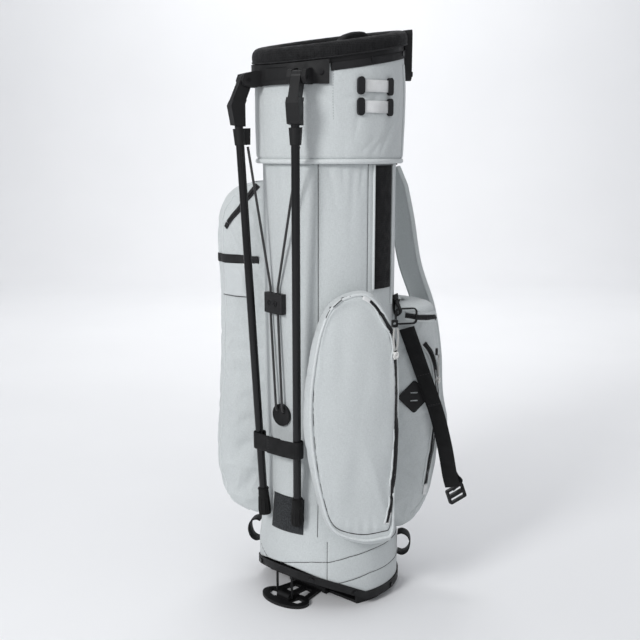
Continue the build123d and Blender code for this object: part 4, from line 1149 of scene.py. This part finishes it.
def wrap_line(face, surface, z_at, halves, side, lift):
    """A line that runs out along a flank, round the front and back along the other flank."""
    points = []
    for d in steps(112, 166, 6):
        points.append((face.at(side * 75, z_at(d), d), face.side * side))
    for k in range(1, 12):
        w = math.pi / 2 * k / 12
        direction = (face.side * side * math.cos(w) + face.out * math.sin(w)).normalized()
        base = face.at(side * (halves - 24), z_at(150), 146)
        points.append((base + direction * 60, direction))
    for l in steps(side * (halves - 26), -side * (halves - 26), 8):
        points.append((face.at(l, z_at(180), 220), face.out))
    for k in range(1, 12):
        w = math.pi / 2 * k / 12
        direction = (face.side * -side * math.sin(w) + face.out * math.cos(w)).normalized()
        base = face.at(-side * (halves - 24), z_at(150), 146)
        points.append((base + direction * 60, direction))
    for d in steps(166, 112, 6):
        points.append((face.at(-side * 75, z_at(d), d), -face.side * side))
    laid = []
    for p, direction in points:
        hit = surface.ray_cast(p + direction * 60, -direction, 260)[0]
        if hit is not None:
            laid.append(hit)
    line = smooth_line(laid, 160)
    normals = []
    for i, p in enumerate(line):
        run = line[min(i + 1, 159)] - line[max(i - 1, 0)]
        normals.append(run.cross(Vector((0, 0, 1))).normalized() * side)
    normals = [n if n.dot(p - face.at(0, p.z, 110)) > 0 else -n for n, p in zip(normals, line)]
    return [p + n * lift for p, n in zip(line, normals)], normals


def build_ball_details():
    surface = tree(ball_piece)
    line, normals = wrap_line(BALL, surface, lambda d: 458 - (d - 112) * 0.16, 52, -1, 0.0)
    tape = sweep("ball_pocket_lid_zip", line, normals, flat_section(8, 1.3), M["zip"])
    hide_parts("ball_pocket_top_zip")
    stitch_row("ball_pocket_lid_teeth", [p + n * 1.4 for p, n in zip(line, normals)], normals, M["plastic_fine"],
               size=(0.9, 0.7, 1.0))
    for label, shift in (("upper", 6.5), ("lower", -6.0)):
        rolled = [p + n * 0.6 + Vector((0, 0, shift)) for p, n in zip(line, normals)]
        sweep(f"ball_pocket_lid_piping_{label}", rolled, normals, round_section(1.8, 10), M["fabric_pale"])
    wall = lambda pts, n, lift=0.0: on_wall(BALL, -1, [surface], pts, n, lift)
    arc = [(145, 411), (159, 392), (168, 365), (172, 326), (170, 280), (165, 237), (159, 200), (155, 172)]
    points, normals = wall(arc, 80, 0.1)
    tape = sweep("ball_pocket_zip_tape", points, normals, flat_section(9, 1.3), M["zip"])
    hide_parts("ball_pocket_side_zip")
    stitch_row("ball_pocket_zip_teeth", [p + n * 1.4 for p, n in zip(points, normals)], normals, M["plastic_fine"],
               size=(0.9, 0.7, 1.0))
    points, normals = wall([(155, 171), (152, 153)], 8, 0.6)
    sweep("ball_pocket_zip_end", points, normals, flat_section(10, 1.6), M["white_tab"])
    for k, inset in enumerate((-6.5, 6.5)):
        edge = [(d + inset, z) for d, z in arc]
        points, normals = wall(edge, 80, 0.2)
        sweep(f"ball_pocket_zip_piping_{k + 1}", points, normals, round_section(1.5, 10, 0.3), M["fabric_pale"])
    for k, inset in enumerate((12, 18)):
        edge = [(d + inset - 5, z) for d, z in arc[2:]] + [(146 + inset, 140), (128 + inset, 118)]
        outward = (BALL.out * 0.6 - BALL.side).normalized()
        line = smooth_line([BALL.at(-54, z, d) for d, z in edge], 90)
        points, normals = drop([surface], line, outward, 0.1)
        sweep(f"ball_pocket_edge_piping_{k + 1}", points, normals, round_section(1.6, 10, 0.3), M["fabric_pale"])


build_ball_details()


# --- small fabric parts on the tube -----------------------------------------------------------
def build_mesh_panel():
    """A knit strip let into the tube beside a piped seam."""
    rows = []
    for z in steps(508, 692, 4):
        row = []
        for a in steps(-9, 16, 1):
            edge = min(1, (a + 9) / 2, (16 - a) / 2)
            row.append(polar(tube_radius(z) + 0.2 + 1.3 * edge + 0.5 * edge * ripple(a / 5, z / 22, 9), a, z))
        for a in steps(16, -9, 5):
            row.append(polar(tube_radius(z) - 1.4, a, z))
        rows.append(row)
    piece = grid("side_mesh_panel", rows, M["mesh"], closed_cols=True)
    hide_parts("mesh_panel")
    for label, angle, low in (("front", -9.6, 506), ("back", 17.5, 480)):
        line = [polar(104.6, angle, z) for z in steps(low, 694, 4)]
        sweep(f"side_mesh_piping_{label}", line, [from_axis(q) for q in line], round_section(1.9, 10, 0.4),
              M["fabric_pale"])


build_mesh_panel()


def build_felt_pad():
    """The felt patch that the leg feet rest on."""
    rows = []
    for z in steps(121, 178, 2.5):
        row = []
        for a in steps(-104, -70, 1):
            edge = min(1, (a + 104) / 1.5, (-70 - a) / 1.5) * min(1, (z - 121) / 3 + 0.2, (178 - z) / 3 + 0.2)
            row.append(polar(tube_radius(z) + 0.3 + 1.1 * edge + 0.15 * ripple(a, z / 4, 2), a, z))
        for a in steps(-70, -104, 4):
            row.append(polar(tube_radius(z) - 0.6, a, z))
        rows.append(row)
    piece = grid("leg_rest_felt", rows, M["felt"], closed_cols=True)
    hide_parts("leg_rest_pad")


build_felt_pad()


def build_tee_loops():
    """White elastic that comes out of one eyelet and goes back into the next."""
    for k, z in enumerate(LOOP_Z):
        line = []
        for a in steps(-27, 2, 1):
            share = (a + 27) / 29
            bow = 2.2 * math.sin(math.pi * share) ** 0.5 if 0 < share < 1 else 0
            line.append(polar(113.0 + bow, a, z))
        piece = sweep(f"tee_loop_{k + 1}", line, [from_axis(q) for q in line], flat_section(17, 1.2, 0.3),
                      M["tee_elastic"])
        if k == 0:
            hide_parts("tee_loops")


build_tee_loops()


def build_keeper_trim():
    """Zigzag stitching and two eyelets on the webbing patch that guides the shock cord."""
    for side in (-1, 1):
        line, a0 = [], -99.4 + side * 10.2
        for i, z in enumerate(steps(471, 499, 1.75)):
            line.append(polar(113.5, a0 + (0.55 if i % 2 else -0.55), z))
        rod(f"cord_keeper_zigzag_{'left' if side < 0 else 'right'}", line, 0.4, M["thread_dark"], sides=6)
        face = Facing(-99.4 + side * 4.0)
        eyelet = [face.at(3.4 * math.cos(w), 485 + 3.4 * math.sin(w), 113.7) for w in
                  (2 * math.pi * k / 28 for k in range(28))]
        rod(f"cord_keeper_eyelet_{'left' if side < 0 else 'right'}", eyelet, 0.9, M["zinc"], closed=True, sides=8)


build_keeper_trim()


# --- legs, shock cords and foot ribs -------------------------------------------------------------
SIDES = {"left": -1, "right": 1}
PIN = (138.0, 814.0)
LEG_TOP, LEG_END = (150.0, 764.0), (36.0, -115.5, 150.0)


def leg_axis(side):
    """Top and end points of a leg tube's axis."""
    top = polar(LEG_TOP[0], -90 + side * 22.5, LEG_TOP[1])
    return top, Vector((side * LEG_END[0], LEG_END[1], LEG_END[2]))


def on_leg(side, z):
    top, end = leg_axis(side)
    return top + (end - top) * ((top.z - z) / (top.z - end.z))


def build_leg_strap(label, side):
    """Half of the hook-and-loop strap: round its own leg, then across towards the other."""
    leg = on_leg(side, 266)
    radius, layer = 8.2, (0.0 if side < 0 else 2.3)
    line = []
    for k in range(25):
        w = math.radians(-90 + side * (250 - 250 * k / 24))
        line.append(Vector((leg.x + radius * math.cos(w), leg.y + radius * math.sin(w), 266)))
    for share in (0.15, 0.4, 0.7, 1.0):
        x = leg.x + (-side * 13 - leg.x) * share
        line.append(Vector((x, leg.y - radius - layer * min(1, share * 2.2) - 0.4 * math.sin(math.pi * share), 266)))
    line = smooth_line(line, 64)
    normals = []
    for i, q in enumerate(line):
        run = line[min(i + 1, 63)] - line[max(i - 1, 0)]
        n = run.cross(Vector((0, 0, 1))).normalized()
        normals.append(n if n.dot(Vector((q.x - leg.x * 0.999, q.y - (leg.y + 0.01), 0))) > 0 else -n)
    piece = sweep(f"leg_strap_web_{label}", line, normals, flat_section(27, 1.7, 0.2), M["webbing"], f"leg_{label}")
    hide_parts(f"leg_strap_{label}")
    if side > 0:
        end = [line[-1] + normals[-1] * 1.9 + Vector((3.5, 0, z)) for z in steps(-11, 11, 2)]
        stitch_row("leg_strap_bar_tack", end, [normals[-1]] * len(end), M["thread_dark"], f"leg_{label}")


def build_shock_cord(label, side):
    """A braided elastic from the anchor through the keeper to the leg's clip."""
    x = -5 + side * 6.5
    keeper = -99.4 + side * 4.9
    hub = polar(PIN[0], -90 + side * 22.5, PIN[1])
    out = polar(1, -90 + side * 22.5)
    knob = hub + out * -2.5 + Vector((0, 0, -95))
    route = [Vector((x, -104.9, 316.5)), Vector((x, -109.5, 317.2)), Vector((x, -112.2, 323))]
    route += [polar(109.0, keeper, z) for z in (462, 469, 485, 501, 509)]
    route += [knob]
    line = smooth_line(route[:3], 10)[:-1] + even([route[2]] + route[3:8], 46)[:-1] + even(route[7:], 50)
    fixed = []
    for q in line:
        r = math.hypot(q.x, q.y)
        least = tube_radius(q.z) + 2.6 if q.z > 326 else 0
        fixed.append(Vector((q.x * least / r, q.y * least / r, q.z)) if r < least else q)
    piece = rod(f"shock_cord_braid_{label}", fixed, 2.0, M["shock"], body=None, sides=12)
    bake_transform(piece)
    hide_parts(f"shock_cord_{label}")


def build_foot_ribs(label, side):
    """Raised ribs down the rubber foot."""
    top, end = leg_axis(side)
    down = (end - top).normalized()
    out = (polar(1, -90 + side * 22.5) - down * polar(1, -90 + side * 22.5).dot(down)).normalized()
    across = down.cross(out)
    for k in range(10):
        w = 2 * math.pi * k / 10
        spoke = out * math.cos(w) + across * math.sin(w)
        rib = []
        for z, r in ((170, 8.6), (164, 9.1), (156, 9.6), (148, 10.0), (144, 9.6)):
            rib.append(on_leg(side, z) + spoke * (r - 0.5))
        sweep(f"foot_rib_{label}_{k + 1}", rib, [spoke] * len(rib), round_section(1.1, 8), M["rubber"],
              f"leg_{label}")
    collar = [on_leg(side, 184) + (out * math.cos(w) + across * math.sin(w)) * 8.0 for w in
              (2 * math.pi * k / 40 for k in range(40))]
    rod(f"foot_collar_{label}", collar, 1.0, M["rubber"], f"leg_{label}", closed=True, sides=8)


for label, side in SIDES.items():
    build_leg_strap(label, side)
    build_shock_cord(label, side)
    build_foot_ribs(label, side)


# --- base pull tabs -------------------------------------------------------------------------------
def build_pull_tab(label, angle, z):
    face = Facing(angle)
    loop = [(116.6, z + 17), (124, z + 19), (133, z + 14), (136.5, z + 2), (133, z - 11), (125, z - 17), (116.6, z - 15)]
    line = smooth_line([face.at(0, h, d) for d, h in loop], 50)
    middle = face.at(0, z, 124)
    normals = []
    for i, q in enumerate(line):
        run = line[min(i + 1, 49)] - line[max(i - 1, 0)]
        n = run.cross(face.side).normalized()
        normals.append(n if n.dot(q - middle) > 0 else -n)
    piece = sweep(f"base_tab_{label}", line, normals, flat_section(25, 1.5, 0.3), M["webbing"])
    if label == "right":
        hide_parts("base_pull_tabs")


build_pull_tab("right", 35, 71)
build_pull_tab("left", -150, 80)


# --- carry strap ------------------------------------------------------------------------------------
VIEW_X, VIEW_T = Vector((0.755, 0.656, 0)), Vector((0.656, -0.755, 0))
PAD_PATH = [(133, 80, 686), (145, 75, 610), (157, 72, 530), (185, 71, 455), (198, 70, 380), (200, 68, 300),
            (206, 62, 230)]
UPPER_WEB = [(116, 84, 752), (121, 82, 720), (132, 80, 689)]
END_WEB = [(207, 61.5, 226), (213, 57, 192), (219, 50, 166), (219, 46, 158)]
LOWER_WEB = [(122, 40, 441), (149, 38, 367), (173, 31, 301), (189, 23, 241), (200, 13, 188), (206, 7, 166)]


def strap_normals(line, across):
    """Outward normals of a strap whose width is kept near one direction."""
    normals = []
    for i, q in enumerate(line):
        run = (line[min(i + 1, len(line) - 1)] - line[max(i - 1, 0)]).normalized()
        n = run.cross(across - run * across.dot(run)).normalized()
        normals.append(n if n.dot(from_axis(q)) > 0 else -n)
    return normals


def build_strap():
    line = smooth_line([polar(*q) for q in PAD_PATH], 110)
    across = polar(1, 170)
    normals = strap_normals(line, across)
    taper = lambda t: 0.62 + 0.38 * min(1, t / 0.07, (1 - t) / 0.07)
    inner = [q - n * 4.4 for q, n in zip(line, normals)]
    section = [(-21, 0), (-10, -0.7), (0, -0.9), (10, -0.7), (21, 0), (23.5, 1.6), (24, 4.4), (23.5, 7.2), (21, 8.6),
               (10, 9.3), (0, 9.5), (-10, 9.3), (-21, 8.6), (-23.5, 7.2), (-24, 4.4), (-23.5, 1.6)]
    core = sweep("shoulder_pad", inner, normals, section, M["fabric"], fit=taper)
    smooth_more(core)
    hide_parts("strap_pad")
    outer = [q + n * 4.7 for q, n in zip(line[5:-5], normals[5:-5])]
    cover = [(-19, 0), (-9, 0.5), (0, 0.6), (9, 0.5), (19, 0), (19.4, 0.7), (9, 1.5), (0, 1.7), (-9, 1.5), (-19.4, 0.7)]
    sweep("shoulder_pad_cover", outer, normals[5:-5], cover, M["fabric"], fit=taper)
    for label, s in (("left", -1), ("right", 1)):
        edge, edge_n = [], []
        for i, (q, n) in enumerate(zip(line, normals)):
            run = (line[min(i + 1, 109)] - line[max(i - 1, 0)]).normalized()
            side = run.cross(n).normalized()
            edge.append(q + side * s * 23.6 * taper(i / 109) + n * 0.2)
            edge_n.append(n)
        sweep(f"shoulder_pad_binding_{label}", edge, edge_n, [(u * 0.55, v * 2.2) for u, v in round_section(2.2, 12)],
              M["piping"])
    line = smooth_line([polar(*q) for q in UPPER_WEB], 24)
    top = sweep("strap_web_top", line, strap_normals(line, polar(1, 174)), flat_section(25, 1.8), M["webbing"])
    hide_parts("strap_webbing_upper")
    line = smooth_line([polar(*q) for q in END_WEB], 36)
    end = sweep("strap_web_end", line, strap_normals(line, polar(1, 150)), flat_section(25, 1.8), M["webbing"])
    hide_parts("strap_webbing_end")
    line = smooth_line([VIEW_X * x + VIEW_T * t + Vector((0, 0, z)) for x, t, z in LOWER_WEB], 110)
    across = Vector((1, 0.4, 0.4))
    normals = []
    for i, q in enumerate(line):
        run = (line[min(i + 1, 109)] - line[max(i - 1, 0)]).normalized()
        n = run.cross(across - run * across.dot(run)).normalized()
        normals.append(n if n.dot(VIEW_T) > 0 else -n)
    base = [q - n * 1.6 for q, n in zip(line, normals)]
    low = sweep("strap_web_low", base, normals, flat_section(25, 1.7, 0.2), M["webbing"])
    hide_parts("strap_webbing_lower")
    fold = [q + n * 1.75 for q, n in zip(base[:52], normals[:52])]
    sweep("strap_web_fold", fold, normals[:52], flat_section(24.6, 1.6, 0.2), M["webbing"])
    for k, at in enumerate((30, 50)):
        run = (line[at + 1] - line[at - 1]).normalized()
        side = run.cross(normals[at]).normalized()
        row = [fold[at] + normals[at] * 1.75 + side * u for u in steps(-11, 11, 1)]
        stitch_row(f"strap_tack_{k + 1}", row, [normals[at]] * len(row), M["thread_dark"])
    face = Facing(20)
    loop = [(105.5, 492), (108, 480), (112, 473), (115, 466), (112, 460), (108, 463), (106, 474), (105.5, 486)]
    line = smooth_line([face.at(19, h, d) for d, h in loop], 60)
    middle = face.at(19, 470, 110)
    normals = []
    for i, q in enumerate(line):
        run = line[min(i + 1, 59)] - line[max(i - 1, 0)]
        n = run.cross(face.side).normalized()
        normals.append(n if n.dot(q - middle) > 0 else -n)
    anchor = sweep("strap_anchor_web", line, normals, flat_section(24, 1.5), M["webbing"])
    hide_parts("strap_anchor")


build_strap()


# --- finishes on the CAD parts --------------------------------------------------------------------
p = Paint("webbing_flat", (0.012, 0.012, 0.013), 0.65, sheen=0.05, spec=0.3)
p.bump(p.bands(2.2, "Z", uv=False), 0.6, 0.35).tint(p.bands(2.2, "Z", uv=False), 0.75, 1.2, (0.2, 0.9))
M["webbing_flat"] = p.tint(p.noise(35), 0.85, 1.15).wear(p.noise(60), 0.55, 0.78).mat

FINISHES = {
    "plastic_rough": (("base_trim", 1.2), ("base_cup", 1.0), ("lift_handle", 2.0), ("stand_bracket", 0.7),
                      ("lash_tab", 0.4)),
    "plastic": (("leg_elbow_left", 1.2), ("leg_elbow_right", 1.2), ("leg_clip_left", 1.0), ("leg_clip_right", 1.0),
                ("foot_plate", 1.2), ("top_rim", 0.8), ("collar_frame", 0.6), ("lift_yoke", 0.5), ("wire_guides", 0.3),
                ("frame_stays", 0), ("strap_ring", 0.9), ("cord_anchor", 0.9)),
    "plastic_fine": (("tee_loop_eyelets", 0.9), ("strap_buckle", 0.8)),
    "zinc": (("actuator_wire", 0), ("base_screws", 0.7), ("collar_screws", 0.8), ("hinge_pins", 0.6),
             ("foot_hinge_pin", 0.5), ("zip_sliders", 0.5)),
    "anodised": (("leg_tube_left", 0), ("leg_tube_right", 0)),
    "rubber": (("leg_foot_left", 1.0), ("leg_foot_right", 1.0)),
    "webbing_flat": (("cord_keeper", 0.5),),
    "lining": (("divider_panels", 0),),
}
for material, nodes in FINISHES.items():
    for node, bevel in nodes:
        finish_node(node, material, bevel)


# --- floor, wall and light ----------------------------------------------------------------------------
def build_backdrop():
    """A pale floor that curves up into a pale wall behind the bag."""
    right, ahead = Vector((0.755, 0.656, 0)), Vector((-0.656, 0.755, 0))
    profile = [(-5200, 0), (-1500, 0), (-500, 0), (250, 0), (3400, 0)]
    for k in range(1, 13):
        w = math.pi / 2 * k / 12
        profile.append((3400 + 1200 * math.sin(w), 1200 - 1200 * math.cos(w)))
    profile += [(4600, 2400), (4600, 4200)]
    verts, faces = [], []
    for x in (-6000, 6000):
        for d, z in profile:
            verts.append(ahead * d + right * x + Vector((0, 0, z)))
    n = len(profile)
    for k in range(n - 1):
        faces.append((k, n + k, n + k + 1, k + 1))
    p = Paint("studio_paper", (0.83, 0.835, 0.845), 0.9, spec=0.2)
    p.tint(p.noise(2), 0.99, 1.01)
    obj = make("backdrop", verts, faces, p.mat, body=None)


def area_light(name, place, aim, size, power, color=(1, 1, 1)):
    data = bpy.data.lights.new(name, "AREA")
    data.shape, data.size, data.energy, data.color = "DISK", size, power, color
    lamp = bpy.data.objects.new(name, data)
    bpy.context.scene.collection.objects.link(lamp)
    lamp.location = place
    lamp.rotation_euler = (Vector(aim) - Vector(place)).to_track_quat("-Z", "Y").to_euler()


build_backdrop()
RIGHT_WAY, AHEAD = Vector((0.755, 0.656, 0)), Vector((-0.656, 0.755, 0))
area_light("key", RIGHT_WAY * -1.6 - AHEAD * 2.1 + Vector((0, 0, 1.7)), (0, 0, 0.45), 0.8, 46)
area_light("fill", RIGHT_WAY * 1.2 - AHEAD * 2.4 + Vector((0, 0, 1.6)), (0, 0, 0.4), 2.0, 8)
area_light("wall_wash", AHEAD * 1.9 + Vector((0, 0, 3.1)), AHEAD * 4.6 + Vector((0, 0, 0.3)), 1.6, 72)
area_light("top", AHEAD * -0.3 + Vector((0, 0, 2.6)), (0, 0.1, 0.3), 2.2, 12)
world = bpy.data.worlds.new("studio")
bpy.context.scene.world = world
world.use_nodes = True
world.node_tree.nodes["Background"].inputs["Color"].default_value = (0.93, 0.95, 1, 1)
world.node_tree.nodes["Background"].inputs["Strength"].default_value = 0.42

bpy.context.view_layer.update()
